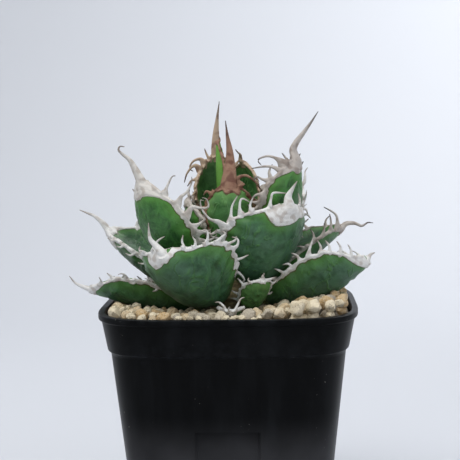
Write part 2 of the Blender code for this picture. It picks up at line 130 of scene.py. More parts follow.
# Where the cap's edge runs across the outer face of the leaves that show it most: across, from -1 at the
# left edge to 1 at the right, and share of the length.
CAPS = {
    "leaf_02": ((-1.0, 0.86), (-0.4, 0.80), (0.0, 0.72), (0.5, 0.82), (1.0, 0.88)),
    "leaf_07": ((-1.0, 0.92), (-0.7, 0.88), (-0.35, 0.87), (0.0, 0.94), (0.5, 0.965), (1.0, 0.97)),
    "leaf_10": ((-1.0, 0.93), (-0.7, 0.88), (-0.4, 0.81), (0.0, 0.83), (0.4, 0.88), (0.75, 0.82),
                (1.0, 0.72)),
    "leaf_12": ((-1.0, 0.82), (-0.6, 0.86), (0.0, 0.86), (0.5, 0.90), (1.0, 0.84)),
    "leaf_13": ((-1.0, 0.84), (-0.6, 0.92), (-0.2, 0.87), (0.2, 0.93), (0.6, 0.90), (1.0, 0.88)),
    "leaf_15": ((-1.0, 0.90), (-0.7, 0.86), (-0.4, 0.90), (-0.1, 0.84), (0.2, 0.89), (0.5, 0.83),
                (0.8, 0.92), (1.0, 0.96)),
    "leaf_05": ((-1.0, 0.86), (-0.5, 0.93), (0.0, 0.95), (1.0, 0.93)),
    "leaf_09": ((-1.0, 0.88), (0.0, 0.86), (0.5, 0.80), (1.0, 0.86)),
}

# How wide the horn along the edge is, against the other leaves.
STRIPS = {"leaf_02": 0.4, "leaf_04": 0.5, "leaf_05": 0.42, "leaf_07": 0.75, "leaf_08": 0.55, "leaf_10": 0.8,
          "leaf_12": 1.15, "leaf_17": 1.5, "leaf_18": 1.5, "leaf_19": 0.3, "leaf_20": 0.15}

# Spines with a broader foot than the others.
SPINE_FEET = {"leaf_07": 0.65, "leaf_12": 1.25, "leaf_13": 1.5, "leaf_15": 2.0, "leaf_17": 1.3}

# Spines that bend their own way: mm to the right and up from the end of the blade.
SPINES = {
    "leaf_04": ((-3.0, 0.0), (-6.0, 1.5), (-8.5, 4.5)),
    "leaf_05": ((1.5, 0.6), (3.5, 1.6)),
    "leaf_07": ((-3.0, 1.5), (-5.3, 4.5), (-5.8, 10.5)),
    "leaf_08": ((2.0, 0.5), (5.5, 0.6), (8.5, -0.6), (11.0, 0.8), (13.5, 0.6)),
    "leaf_09": ((-3.3, 2.5), (-6.5, 5.2), (-9.5, 6.5), (-13.0, 8.0)),
    "leaf_10": ((0.5, 2.5), (2.0, 5.5), (4.2, 9.0)),
    "leaf_12": ((-3.5, 4.5), (-5.5, 8.0), (-8.3, 10.3), (-9.8, 12.0), (-9.2, 13.4), (-7.3, 13.2)),
    "leaf_13": ((-0.3, 3.8), (1.0, 7.0), (4.0, 11.0), (7.0, 15.0), (10.0, 19.5)),
    "leaf_15": ((0.4, 7.0), (0.3, 13.0), (-0.4, 18.0), (-1.2, 25.0)),
    "leaf_17": ((-0.8, 4.0), (-0.7, 10.0), (0.0, 16.5), (0.9, 23.0)),
}

# The teeth that stand out most: edge (-1 left, 1 right), share of the length, half width at the foot, then mm
# to the right and up from the edge.
TEETH = {
    "leaf_02": (
        (1, 0.95, 1.5, ((1.0, 1.8), (2.4, 4.6), (4.0, 5.2))),
        (-1, 0.97, 1.5, ((-0.6, 1.6), (-2.4, 3.4), (-4.4, 3.4))),
    ),
    "leaf_04": (
        (-1, 0.35, 1.2, ((-0.5, 2.0), (-2.0, 3.2))),
        (-1, 0.55, 1.3, ((-0.6, 1.8), (-2.4, 3.4))),
        (-1, 0.72, 1.2, ((-0.5, 1.8), (0.8, 3.2))),
        (1, 0.4, 1.4, ((-0.5, -1.5), (-2.4, -2.2))),
        (1, 0.6, 1.5, ((-0.8, -1.4), (-3.0, -1.0))),
        (1, 0.8, 1.3, ((-1.0, 1.2), (-2.6, 2.6))),
    ),
    "leaf_05": (
        (-1, 0.2, 1.0, ((-2.0, 0.3), (-4.0, -1.5))),
        (-1, 0.3, 1.1, ((-1.8, 1.2), (-4.0, 2.0))),
        (-1, 0.4, 1.1, ((-1.6, 1.6), (-4.0, 1.2))),
        (-1, 0.5, 1.1, ((-1.2, 2.0), (-3.4, 3.0))),
        (-1, 0.6, 1.2, ((0.5, 3.0), (1.5, 6.0), (2.2, 8.2))),
        (-1, 0.71, 1.0, ((0.3, 2.4), (-1.0, 5.2))),
        (-1, 0.79, 1.0, ((-0.2, 2.4), (-1.9, 4.8))),
        (-1, 0.86, 0.9, ((0.2, 2.6), (-1.4, 5.2))),
        (-1, 0.92, 0.8, ((0.0, 2.4), (-1.4, 4.8))),
    ),
    "leaf_07": (
        (-1, 0.97, 1.5, ((0.8, 2.4), (2.2, 4.4), (4.8, 6.0))),
        (1, 0.95, 1.3, ((-0.8, 2.4), (-0.4, 5.0))),
        (1, 0.90, 1.3, ((0.2, 2.2), (-1.0, 4.2))),
        (1, 0.85, 1.5, ((0.8, 2.4), (0.6, 5.0), (-1.2, 5.6))),
        (1, 0.76, 1.7, ((1.5, 1.8), (3.0, 3.2), (1.6, 4.4))),
        (1, 0.64, 1.4, ((1.4, 0.8), (3.2, 1.8), (3.6, 3.4))),
        (1, 0.52, 1.7, ((1.6, 1.2), (1.8, 3.6), (-0.6, 4.6))),
        (1, 0.36, 1.4, ((2.2, 0.6), (5.2, 2.0))),
        (1, 0.2, 1.5, ((2.2, -1.6), (3.4, -3.8), (1.6, -4.6))),
        (-1, 0.75, 1.2, ((-0.8, 1.8), (-0.4, 3.4))),
        (-1, 0.55, 1.3, ((-1.6, 0.6), (-2.6, 2.2))),
        (-1, 0.38, 1.3, ((-1.6, -0.2), (-3.0, 0.8))),
    ),
    "leaf_08": (
        (-1, 0.88, 1.4, ((0.2, 3.6), (-0.8, 6.6), (-5.6, 9.6))),
        (-1, 0.8, 1.3, ((0.2, 3.6), (-0.4, 7.2))),
        (-1, 0.7, 1.2, ((0.6, 2.4), (0.8, 5.6))),
        (-1, 0.6, 1.2, ((-0.4, 3.0), (-1.8, 5.2))),
        (1, 0.9, 1.2, ((0.0, 2.6), (1.6, 4.6))),
    ),
    "leaf_09": (
        (-1, 0.86, 1.4, ((0.2, 2.6), (1.8, 4.8), (0.6, 6.2))),
        (-1, 0.72, 1.4, ((0.4, 2.4), (-1.4, 5.0))),
        (-1, 0.58, 1.3, ((0.4, 2.6), (2.0, 4.6))),
        (-1, 0.44, 1.3, ((0.6, 2.4), (-0.8, 4.8))),
        (1, 0.84, 1.8, ((-1.0, -1.0), (-3.2, 0.4))),
        (1, 0.72, 1.8, ((-1.6, -1.0), (-3.6, -0.4))),
        (1, 0.6, 1.8, ((-1.6, -1.4), (-4.2, -0.4))),
        (1, 0.48, 1.7, ((-1.4, -1.8), (-3.8, -1.4))),
        (1, 0.34, 1.6, ((-1.2, -1.8), (-3.2, -2.4))),
    ),
    "leaf_10": (
        (-1, 0.62, 2.0, ((-2.5, 2.2), (-6.0, 3.6), (-8.8, 7.2), (-9.5, 11.0), (-8.0, 10.6))),
        (-1, 0.70, 2.4, ((0.2, 3.0), (0.8, 6.6), (3.0, 10.5))),
        (-1, 0.80, 1.7, ((-0.5, 3.6), (0.4, 6.6), (3.6, 5.2))),
        (-1, 0.87, 1.8, ((-0.4, 3.0), (1.0, 6.2))),
        (-1, 0.95, 1.2, ((0.6, 3.8), (1.6, 5.8), (6.8, 5.6))),
        (-1, 0.55, 1.8, ((-2.6, 0.8), (-5.2, -0.4), (-7.6, 0.6), (-7.4, 2.6))),
        (-1, 0.46, 1.7, ((-2.0, 0.8), (-4.2, 1.8), (-4.4, 4.0))),
        (-1, 0.40, 1.5, ((-2.4, -0.6), (-4.8, -1.8))),
        (-1, 0.34, 1.5, ((-2.0, 0.2), (-3.4, -1.4))),
        (1, 0.93, 1.5, ((0.4, 2.4), (-0.3, 5.4))),
        (1, 0.85, 1.4, ((1.4, -0.2), (2.2, -2.2))),
        (1, 0.7, 1.8, ((2.0, 0.8), (3.8, -1.0))),
        (1, 0.58, 1.8, ((2.0, 0.6), (4.0, 2.2))),
        (1, 0.46, 1.6, ((2.0, -0.2), (3.4, -2.2))),
    ),
    "leaf_12": (
        (1, 0.88, 2.0, ((1.2, 3.4), (3.2, 7.2), (4.8, 7.6))),
        (1, 0.79, 1.7, ((1.6, 3.0), (3.8, 4.8), (5.8, 8.4), (5.9, 11.0))),
        (1, 0.68, 1.5, ((2.2, 3.4), (6.0, 3.0), (8.6, 3.6), (8.0, 6.4), (6.0, 7.2))),
        (1, 0.57, 1.7, ((2.4, 1.2), (4.6, 3.0), (3.6, 4.8))),
        (1, 0.50, 1.9, ((3.0, 0.6), (6.2, -0.4), (8.2, 1.8))),
        (1, 0.42, 1.7, ((2.6, 0.2), (5.4, 1.4), (6.4, 3.2))),
        (1, 0.34, 1.7, ((3.0, -0.4), (6.0, -1.6), (8.4, -3.8))),
        (1, 0.24, 1.5, ((2.2, -0.8), (4.6, -2.6))),
        (-1, 0.88, 1.2, ((-1.6, 0.4), (-2.8, 1.8))),
        (-1, 0.72, 1.2, ((-1.8, 0.2), (-3.2, 1.4))),
        (-1, 0.55, 1.2, ((-1.8, -0.2), (-3.0, 0.8))),
    ),
    "leaf_13": (
        (-1, 0.94, 3.6, ((-3.0, 3.0), (-7.0, 4.4), (-11.0, 3.0), (-9.6, 0.6))),
        (-1, 0.97, 3.0, ((-1.6, 2.6), (-3.0, 4.4))),
        (1, 0.95, 3.2, ((0.6, 2.4), (1.6, 4.8))),
        (-1, 0.90, 1.0, ((-3.0, 1.6), (-6.5, 2.0), (-12.0, 1.2))),
        (-1, 0.80, 1.6, ((-2.6, 0.6), (-5.0, 1.8), (-6.2, 0.2))),
        (-1, 0.66, 1.5, ((-2.0, 0.0), (-4.2, -1.6))),
        (-1, 0.5, 1.4, ((-1.8, 0.8), (-3.4, 2.4))),
        (1, 0.9, 1.5, ((1.6, 1.2), (3.2, 3.4))),
        (1, 0.8, 1.4, ((1.8, 0.4), (3.6, 1.8))),
        (1, 0.66, 1.4, ((1.8, -0.2), (3.4, 1.0))),
    ),
    "leaf_15": (
        (1, 0.92, 2.0, ((-2.0, 3.6), (1.6, 5.2), (5.2, 2.8), (7.6, -0.6), (8.6, -3.2))),
        (-1, 0.85, 1.5, ((-2.0, 1.0), (-3.4, -1.0))),
        (-1, 0.65, 1.4, ((-1.8, 0.4), (-3.4, 1.8))),
        (1, 0.6, 1.4, ((1.8, 0.6), (3.2, -0.8))),
    ),
    "leaf_16": (
        (-1, 0.9, 1.6, ((1.0, 1.8), (3.4, 1.6))),
    ),
    "leaf_17": (
        (1, 0.92, 1.9, ((-2.0, 2.2), (-5.0, 1.2), (-6.4, -1.6), (-4.8, -3.0))),
        (1, 0.97, 1.6, ((-1.2, 1.8), (-2.2, 4.6))),
        (1, 0.86, 2.0, ((-2.6, 2.0), (-5.6, -1.0), (-7.0, -5.2))),
        (1, 0.76, 1.5, ((-2.4, -0.6), (-4.2, -3.0))),
        (-1, 0.9, 1.4, ((1.6, 1.6), (3.4, 1.0))),
    ),
    "leaf_19": (
        (-1, 0.75, 1.2, ((-1.2, 1.4), (-2.4, 2.8))),
        (-1, 0.45, 1.2, ((-1.6, 0.6), (-3.0, 1.6))),
        (1, 0.7, 1.1, ((1.4, 0.8), (2.6, 2.2))),
        (1, 0.4, 1.1, ((1.6, 0.0), (2.8, 1.0))),
    ),
}


# ---------------------------------------------------------------- settings
def linear(hex_code):
    """A colour from its sRGB hex code, as Blender's linear red, green, blue and alpha."""
    parts = [int(hex_code[k:k + 2], 16) / 255.0 for k in (1, 3, 5)]
    return tuple(c / 12.92 if c <= 0.04045 else ((c + 0.055) / 1.055) ** 2.4 for c in parts) + (1.0,)


def colour_prop(name, hex_code, description):
    """A colour swatch whose default is an sRGB hex code."""
    return bpy.props.FloatVectorProperty(name=name, description=description, subtype="COLOR", size=4,
                                         min=0.0, max=1.0, default=linear(hex_code))


def length_prop(name, millimetres, description):
    """A length, given here in millimetres."""
    return bpy.props.FloatProperty(name=name, description=description, subtype="DISTANCE", unit="LENGTH",
                                   default=millimetres * MM, min=0.0, precision=4)


def share_prop(name, share, description):
    """A share between nothing and all."""
    return bpy.props.FloatProperty(name=name, description=description, subtype="FACTOR", default=share,
                                   min=0.0, max=1.0)


def power_prop(name, watts, description):
    """The power of a lamp."""
    return bpy.props.FloatProperty(name=name, description=description, unit="POWER", default=watts, min=0.0)


class AgavePotSettings(bpy.types.PropertyGroup):
    """Sizes and colours of the pot."""

    wall: length_prop("Wall", 1.2, "Thickness of the pot's wall")
    lip_height: length_prop("Lip Height", 2.8, "Height of the turned-out lip")
    collar_height: length_prop("Collar Height", 14.9, "Rim to the step below the collar")
    step: length_prop("Step", 1.1, "How far the collar stands out over the body")
    panel_width: length_prop("Panel Width", 26.0, "Width of the sunk panel in each side")
    panel_drop: length_prop("Panel Drop", 45.0, "Rim to the top of the sunk panel")
    panel_depth: length_prop("Panel Depth", 1.5, "How deep the panel is sunk")
    drain_radius: length_prop("Drain Radius", 3.6, "Radius of each drain hole")
    plastic: colour_prop("Plastic", "#070809", "Black moulded polypropylene")
    # Grey for flow marks and for the rim and the collar's step, where it is partly rubbed wear, partly
    # painted highlight.
    scuff_and_highlight: colour_prop("Scuff", "#33363a", "Rubbed plastic along the edges")
    # Painted reflection: a lighter grey on the lower wall that stands in for light from the pale floor.
    painted_floor_reflection: colour_prop("Haze", "#4c4c4f", "Dried watering marks low on the pot")
    painted_reflection_top: length_prop("Haze Top", 38.0, "Rim to where the haze starts")
    painted_reflection_full: length_prop("Haze Full", 62.0, "Rim to where the haze is thickest")
    dust: colour_prop("Dust", "#77756f", "Dust specks")


class AgavePumiceSettings(bpy.types.PropertyGroup):
    """Sizes and colours of the pumice."""

    grain: length_prop("Grain", 7.0, "Width of a coarse grain before its faces are knocked off")
    fine_grain: length_prop("Fine Grain", 4.0, "Width of a fine grain before its faces are knocked off")
    count: bpy.props.IntProperty(name="Places Tried", description="How many places are tried for a grain",
                                 default=9000, min=100, max=20000)
    cream: colour_prop("Cream", "#d9ccb0", "Clean pumice")
    tan: colour_prop("Tan", "#b89a6c", "Iron-stained pumice")
    grey: colour_prop("Grey", "#a39a8c", "Grey pumice")
    # Painted shade: the darker colour inside the pores stands in for the shade in these hollows.
    pore: colour_prop("Pores", "#7d684a", "Inside the pores")


class AgaveLeafSettings(bpy.types.PropertyGroup):
    """Sizes and colours of the leaves."""

    edge_width: length_prop("Edge Width", 1.25, "Width of the horn along a leaf's edge")
    horn_relief: length_prop("Horn Relief", 0.38, "How far the horn stands over the blade")
    imprint: length_prop("Imprint", 0.36, "Depth of the marks that neighbours press into a blade")
    voxel: length_prop("Horn Detail", 0.24, "Finest detail of the horn's surface")
    bloom: share_prop("Bloom", 0.45, "How much waxy bloom lies on the older leaves")
    bloom_colour: colour_prop("Bloom Colour", "#567461", "Blue-grey wax on the skin")
    red_edge: colour_prop("Red Edge", "#5a3a28", "Thin red-brown line where skin meets horn")
    base_pale: colour_prop("Leaf Foot", "#9aa878", "Pale foot of a leaf")


class AgaveStageSettings(bpy.types.PropertyGroup):
    """The stage and its lamps."""

    backdrop: colour_prop("Backdrop", "#d1d4da", "Pale paper sweep")
    key_power: power_prop("Key Power", 7.4, "Power of the large soft lamp")
    fill_power: power_prop("Fill Power", 2.2, "Power of the fill lamp")
    backdrop_power: power_prop("Backdrop Power", 5.2, "Power of the lamp on the backdrop")
    world_strength: bpy.props.FloatProperty(name="Room Light", description="Strength of the even room light",
                                            default=0.5, min=0.0)
    lens: bpy.props.FloatProperty(name="Lens", description="Focal length", default=100.0, min=20.0,
                                  unit="CAMERA")


class AgaveSettings(bpy.types.PropertyGroup):
    """Everything that can be set on the potted agave."""

    pot: bpy.props.PointerProperty(name="Pot", type=AgavePotSettings)
    pumice: bpy.props.PointerProperty(name="Pumice", type=AgavePumiceSettings)
    leaf: bpy.props.PointerProperty(name="Leaves", type=AgaveLeafSettings)
    stage: bpy.props.PointerProperty(name="Stage", type=AgaveStageSettings)


# ---------------------------------------------------------------- node helpers
def add(tree, kind, feeds=None, **settings):
    """Adds one node: settings are its own properties, feeds its inputs, by value or by the socket to link."""
    node = tree.nodes.new(kind)
    for key, value in settings.items():
        setattr(node, key, value)
    for key, value in (feeds or {}).items():
        if isinstance(value, bpy.types.NodeSocket):
            tree.links.new(value, node.inputs[key])
        else:
            node.inputs[key].default_value = value
    return node


def new_finish(name):
    """An empty node material with its Principled shader; returns the material, its tree and the shader."""
    finish = bpy.data.materials.new(name)
    finish.use_nodes = True
    return finish, finish.node_tree, finish.node_tree.nodes["Principled BSDF"]


def per(millimetres):
    """The scale that gives a pattern features of this size."""
    return 1.0 / (millimetres * MM)


def blend_colour(tree, share, a, b):
    """Mixes two colours; each is a colour or a socket."""
    node = add(tree, "ShaderNodeMix", {0: share, 6: a, 7: b}, data_type="RGBA")
    return node.outputs[2]


def ramp(tree, value, low, high, to_low=0.0, to_high=1.0):
    """Eases a value from one range to another, clamped."""
    node = add(tree, "ShaderNodeMapRange", {0: value, 1: low, 2: high, 3: to_low, 4: to_high},
               interpolation_type="SMOOTHSTEP")
    return node.outputs[0]


def calc(tree, operation, a, b=0.0):
    """One sum on numbers or sockets."""
    return add(tree, "ShaderNodeMath", {0: a, 1: b}, operation=operation).outputs[0]


def pattern(tree, millimetres, detail=3.0, rough=0.55, distortion=0.0, stretch=None):
    """Noise with features of this size, in the object's own space."""
    vector = add(tree, "ShaderNodeTexCoord").outputs["Object"]
    if stretch is not None:
        vector = add(tree, "ShaderNodeVectorMath", {0: vector, 1: stretch}, operation="MULTIPLY").outputs[0]
    node = add(tree, "ShaderNodeTexNoise", {"Vector": vector, "Scale": per(millimetres), "Detail": detail,
                                            "Roughness": rough, "Distortion": distortion})
    return node.outputs["Fac"]


def attribute(tree, name):
    """A value that the mesh carries at each point."""
    return add(tree, "ShaderNodeAttribute", attribute_name=name).outputs["Fac"]


def bumped(tree, height, millimetres, strength=1.0, under=None):
    """Raises the surface by a height that is this many millimetres tall at 1."""
    feeds = {"Height": height, "Distance": millimetres * MM, "Strength": strength}
    if under is not None:
        feeds["Normal"] = under
    return add(tree, "ShaderNodeBump", feeds).outputs["Normal"]


# ---------------------------------------------------------------- finishes
def polypropylene_finish(pot):
    """Injection-moulded black polypropylene.

    Its satin skin gives soft wide highlights, with grey edges that are partly rubbed wear and partly painted
    highlight, faint flow marks down the wall, a painted reflection of the pale floor that lightens the wall
    towards the foot and a few specks of dust that pick it out of plain black."""
    finish, tree, shader = new_finish("polypropylene moulded black")
    flow = pattern(tree, 9.0, 3.0, 0.6, stretch=(1.0, 1.0, 0.12))
    mould = pattern(tree, 0.45, 2.0, 0.5)           # finer in life; drawn this coarse so that it shows
    specks = pattern(tree, 1.1, 1.0, 0.4)
    patches = pattern(tree, 16.0, 2.0, 0.5)
    # Lighter grey on the rim and the collar's step: partly rubbed wear, partly painted highlight.
    edge = attribute(tree, "wear_and_highlight")
    dusty = calc(tree, "MULTIPLY", ramp(tree, specks, 0.76, 0.79), ramp(tree, patches, 0.5, 0.66))
    wear_and_highlight = calc(tree, "MULTIPLY", edge, ramp(tree, pattern(tree, 3.0, 4.0, 0.65), 0.35, 0.75))
    streaks = calc(tree, "MULTIPLY", ramp(tree, flow, 0.4, 0.8), 0.14)
    colour = blend_colour(tree, streaks, pot.plastic, pot.scuff_and_highlight)
    colour = blend_colour(tree, calc(tree, "MULTIPLY", wear_and_highlight, 0.5), colour, pot.scuff_and_highlight)
    place = add(tree, "ShaderNodeTexCoord").outputs["Object"]
    height = add(tree, "ShaderNodeSeparateXYZ", {0: place}).outputs[2]
    # Painted reflection: the wall lightens in patches towards the foot, for light thrown up from the pale
    # floor.
    painted_floor_reflection = ramp(tree, height, RIM - pot.painted_reflection_top, RIM - pot.painted_reflection_full)
    painted_floor_reflection = calc(tree, "MULTIPLY", painted_floor_reflection, ramp(tree, patches, 0.2, 0.8, 0.35, 0.6))
    colour = blend_colour(tree, painted_floor_reflection, colour, pot.painted_floor_reflection)
    colour = blend_colour(tree, calc(tree, "MULTIPLY", dusty, 0.6), colour, pot.dust)
    rough = calc(tree, "ADD", calc(tree, "MULTIPLY", flow, 0.16), 0.3)
    rough = calc(tree, "ADD", rough, calc(tree, "MULTIPLY", dusty, 0.35))
    tree.links.new(colour, shader.inputs["Base Color"])
    tree.links.new(rough, shader.inputs["Roughness"])
    shader.inputs["IOR"].default_value = 1.49
    shader.inputs["Specular IOR Level"].default_value = 0.06
    tree.links.new(bumped(tree, mould, 0.02, 0.6, bumped(tree, flow, 0.12, 0.5)), shader.inputs["Normal"])
    return finish


def peat_finish():
    """Bark and peat growing mix.

    Dark moist crumbs with paler grit give the eye a loose, rough mass."""
    finish, tree, shader = new_finish("growing mix bark and peat")
    crumbs = pattern(tree, 3.2, 5.0, 0.7)
    grit = pattern(tree, 1.3, 2.0, 0.5)
    colour = blend_colour(tree, ramp(tree, crumbs, 0.35, 0.7), linear("#221812"), linear("#4a3524"))
    colour = blend_colour(tree, ramp(tree, grit, 0.68, 0.76), colour, linear("#9c8c70"))
    tree.links.new(colour, shader.inputs["Base Color"])
    shader.inputs["Roughness"].default_value = 0.95
    tree.links.new(bumped(tree, crumbs, 1.6), shader.inputs["Normal"])
    return finish


def pumice_finish(pumice, name, dark):
    """Washed pumice.

    Cream stone with iron stains, some grains tan or grey, open pores darkened inside with painted shade and a
    powdery dull surface; dark adds painted shade to the whole stone, for the bed under the loose grains."""
    finish, tree, shader = new_finish(name)
    tint = attribute(tree, "tint")
    stain = pattern(tree, 3.4, 3.0, 0.6)
    froth = pattern(tree, 0.7, 4.0, 0.7)
    vector = add(tree, "ShaderNodeTexCoord").outputs["Object"]
    cells = add(tree, "ShaderNodeTexVoronoi", {"Vector": vector, "Scale": per(0.75), "Randomness": 1.0})
    # Painted shade: the pores are darkened where shade would fall inside them.
    pore = ramp(tree, cells.outputs["Distance"], 0.16, 0.34, 1.0, 0.0)
    pore = calc(tree, "MULTIPLY", pore, ramp(tree, pattern(tree, 2.2), 0.45, 0.6))
    stained = calc(tree, "ADD", tint, calc(tree, "MULTIPLY", stain, 0.5))
    colour = blend_colour(tree, ramp(tree, stained, 0.75, 1.2), pumice.cream, pumice.tan)
    colour = blend_colour(tree, ramp(tree, tint, 0.16, 0.03), colour, pumice.grey)
    colour = blend_colour(tree, ramp(tree, froth, 0.35, 0.75, 0.0, 0.4), colour, linear("#efe6d2"))
    colour = blend_colour(tree, calc(tree, "MULTIPLY", pore, 0.75), colour, pumice.pore)
    # Painted shade: dark darkens the stone, for the bed that lies in the shade under the loose grains.
    colour = blend_colour(tree, dark, colour, linear("#5a4a36"))
    tree.links.new(colour, shader.inputs["Base Color"])
    shader.inputs["Roughness"].default_value = 0.92
    shader.inputs["Specular IOR Level"].default_value = 0.3
    height = calc(tree, "SUBTRACT", froth, calc(tree, "MULTIPLY", pore, 0.9))
    tree.links.new(bumped(tree, height, 0.45, 0.9), shader.inputs["Normal"])
    return finish


def cork_finish():
    """Dry corky stem.

    Papery grey-brown rings, where old leaves came away, over pale tan cork."""
    finish, tree, shader = new_finish("stem dry cork")
    rings = pattern(tree, 2.4, 4.0, 0.7, stretch=(0.3, 0.3, 1.0))
    colour = blend_colour(tree, ramp(tree, rings, 0.35, 0.7), linear("#5f5238"), linear("#a89a72"))
    tree.links.new(colour, shader.inputs["Base Color"])
    shader.inputs["Roughness"].default_value = 0.85
    tree.links.new(bumped(tree, rings, 0.8), shader.inputs["Normal"])
    return finish


SKINS = {
    # dark, light, fresh edge, bloom share
    "blue": ("#1d4025", "#3e6b45", "#4c8034", 1.0),
    "deep": ("#1b3a20", "#315936", "#447332", 0.55),
    "mid": ("#1d471c", "#437c38", "#548a3a", 0.2),
    "fresh": ("#2f5a2a", "#52834a", "#689650", 0.1),
    "bud": ("#3f7a2c", "#5c9a3c", "#77ab4b", 0.0),
}


def leaf_skin_finish(leaf, skin):
    """Waxy agave leaf skin.

    Deep green under a patchy blue-grey bloom that dulls the shine, a fresher green beside the edge, a thin
    red-brown line where the horn starts, wandering pressed marks whose raised ridges are painted paler
    (partly their own tone, partly painted highlight), thin wavy ridges and a very fine grain."""
    dark, light, fresh, bloom_share = SKINS[skin]
    finish, tree, shader = new_finish("agave leaf skin " + skin)
    inland = attribute(tree, "inland")              # millimetres from the horn
    middle = attribute(tree, "middle")
    foot = attribute(tree, "foot")
    mark = attribute(tree, "mark")
    broad = pattern(tree, 13.0, 3.0, 0.6, 0.4)
    blotch = pattern(tree, 4.2, 4.0, 0.65, 0.8)
    grain = pattern(tree, 0.6, 3.0, 0.6)            # finer in life; drawn this coarse so that it shows
    veins = pattern(tree, 1.5, 3.0, 0.6)
    folds = pattern(tree, 6.5, 2.0, 0.5, 0.7, stretch=(1.0, 1.0, 0.45))
    folds = calc(tree, "ABSOLUTE", calc(tree, "SUBTRACT", folds, 0.5))
    ridge = calc(tree, "MULTIPLY", ramp(tree, folds, 0.0, 0.04, 1.0, 0.0), ramp(tree, inland, 0.8, 3.0))
    ridge = calc(tree, "MULTIPLY", ridge, ramp(tree, broad, 0.35, 0.6))
    colour = blend_colour(tree, ramp(tree, blotch, 0.3, 0.72), linear(dark), linear(light))
    near = ramp(tree, inland, 0.3, 4.6, 1.0, 0.0)
    colour = blend_colour(tree, calc(tree, "MULTIPLY", near, 0.7), colour, linear(fresh))
    waxed = calc(tree, "ADD", calc(tree, "MULTIPLY", middle, 0.22), broad)
    waxed = calc(tree, "ADD", waxed, calc(tree, "MULTIPLY", blotch, 0.35))
    waxed = ramp(tree, waxed, 0.68, 1.0, 0.0, leaf.bloom * bloom_share)
    colour = blend_colour(tree, waxed, colour, leaf.bloom_colour)
    # Raised ridges of the pressed marks painted paler: partly the marks' own tone, partly painted highlight.
    colour = blend_colour(tree, ramp(tree, mark, 0.1, 0.9, 0.0, 0.5), colour, linear(light))
    colour = blend_colour(tree, calc(tree, "MULTIPLY", ridge, 0.45), colour, linear(fresh))
    colour = blend_colour(tree, ramp(tree, grain, 0.3, 0.8, 0.0, 0.1), colour, linear("#7d9a7c"))
    colour = blend_colour(tree, ramp(tree, foot, 0.55, 1.0, 0.0, 0.8), colour, leaf.base_pale)
    wobble = calc(tree, "ADD", inland, calc(tree, "MULTIPLY", calc(tree, "SUBTRACT", veins, 0.5), 0.7))
    line = calc(tree, "MULTIPLY", ramp(tree, wobble, -0.1, 0.12), ramp(tree, wobble, 0.14, 0.42, 1.0, 0.0))
    colour = blend_colour(tree, calc(tree, "MULTIPLY", line, 0.6), colour, leaf.red_edge)
    rough = calc(tree, "ADD", calc(tree, "MULTIPLY", waxed, 0.22), 0.31)
    rough = calc(tree, "ADD", rough, calc(tree, "MULTIPLY", grain, 0.12))
    tree.links.new(colour, shader.inputs["Base Color"])
    tree.links.new(rough, shader.inputs["Roughness"])
    shader.inputs["IOR"].default_value = 1.45
    shader.inputs["Specular IOR Level"].default_value = 0.32
    height = bumped(tree, ridge, 0.35, 0.8, bumped(tree, blotch, 0.35, 0.5))
    tree.links.new(bumped(tree, grain, 0.05, 0.7, height), shader.inputs["Normal"])
    return finish


HORNS = {
    # pale, shaded, stained (also painted shade in the folds), tip, how stained and shaded
    "white": ("#d9d8d5", "#bdb8b1", "#8f7b69", "#8d8177", 0.45),
    "grey": ("#cfcbc4", "#b0a99f", "#8c7a69", "#6a5d54", 0.45),
    "taupe": ("#b5ada5", "#968b82", "#77665a", "#332d2d", 0.55),
    "tan": ("#b59f88", "#93755d", "#74523f", "#3a3131", 0.7),
    "brown": ("#93705a", "#7a5140", "#5f3526", "#2a2226", 0.8),
}


def horn_finish(name):
    """Weathered agave horn.

    Ivory to grey keratin-like edge, the grey in blotches of painted shade, chalky and slightly fibrous, with
    brown patches that are partly stain and partly painted shade of its folds, and darkening to the points."""
    pale, shaded, stained, tip, stain_and_shade = HORNS[name]
    finish, tree, shader = new_finish("agave horn " + name)
    point = attribute(tree, "point")
    stain_and_fold_shade = attribute(tree, "stain_and_fold_shade")
    broad = pattern(tree, 5.0, 4.0, 0.65, 0.6)
    fibre = pattern(tree, 0.8, 4.0, 0.7)
    spots = pattern(tree, 2.1, 2.0, 0.5, 0.5)
    colour = blend_colour(tree, ramp(tree, broad, 0.5, 0.8), linear(pale), linear(shaded))
    # Darker brown patches: partly real stain, partly painted shade for the horn's folds.
    colour = blend_colour(tree, ramp(tree, stain_and_fold_shade, 0.5, 0.95, 0.0, stain_and_shade), colour, linear(stained))
    colour = blend_colour(tree, ramp(tree, spots, 0.72, 0.92, 0.0, stain_and_shade), colour, linear(stained))
    colour = blend_colour(tree, ramp(tree, fibre, 0.5, 0.85, 0.0, 0.5 * stain_and_shade), colour, linear(shaded))
    colour = blend_colour(tree, ramp(tree, point, 0.55, 1.0, 0.0, 0.85), colour, linear(tip))
    tree.links.new(colour, shader.inputs["Base Color"])
    tree.links.new(ramp(tree, broad, 0.2, 0.9, 0.5, 0.72), shader.inputs["Roughness"])
    shader.inputs["IOR"].default_value = 1.5
    tree.links.new(bumped(tree, fibre, 0.22, 0.8, bumped(tree, broad, 0.6, 0.5)), shader.inputs["Normal"])
    return finish


# ---------------------------------------------------------------- mesh helpers
def placed(name, data):
    """An object in the scene around this mesh, lamp or camera."""
    thing = bpy.data.objects.new(name, data)
    bpy.context.scene.collection.objects.link(thing)
    return thing


def carry(mesh, key, values):
    """Stores one number at each point of a mesh, for its finish to read."""
    layer = mesh.attributes.new(key, "FLOAT", "POINT")
    layer.data.foreach_set("value", np.asarray(values, dtype=np.float32))


def points_of(mesh):
    """The points of a mesh, one row each."""
    co = np.zeros(len(mesh.vertices) * 3, np.float32)
    mesh.vertices.foreach_get("co", co)
    return co.reshape(-1, 3)


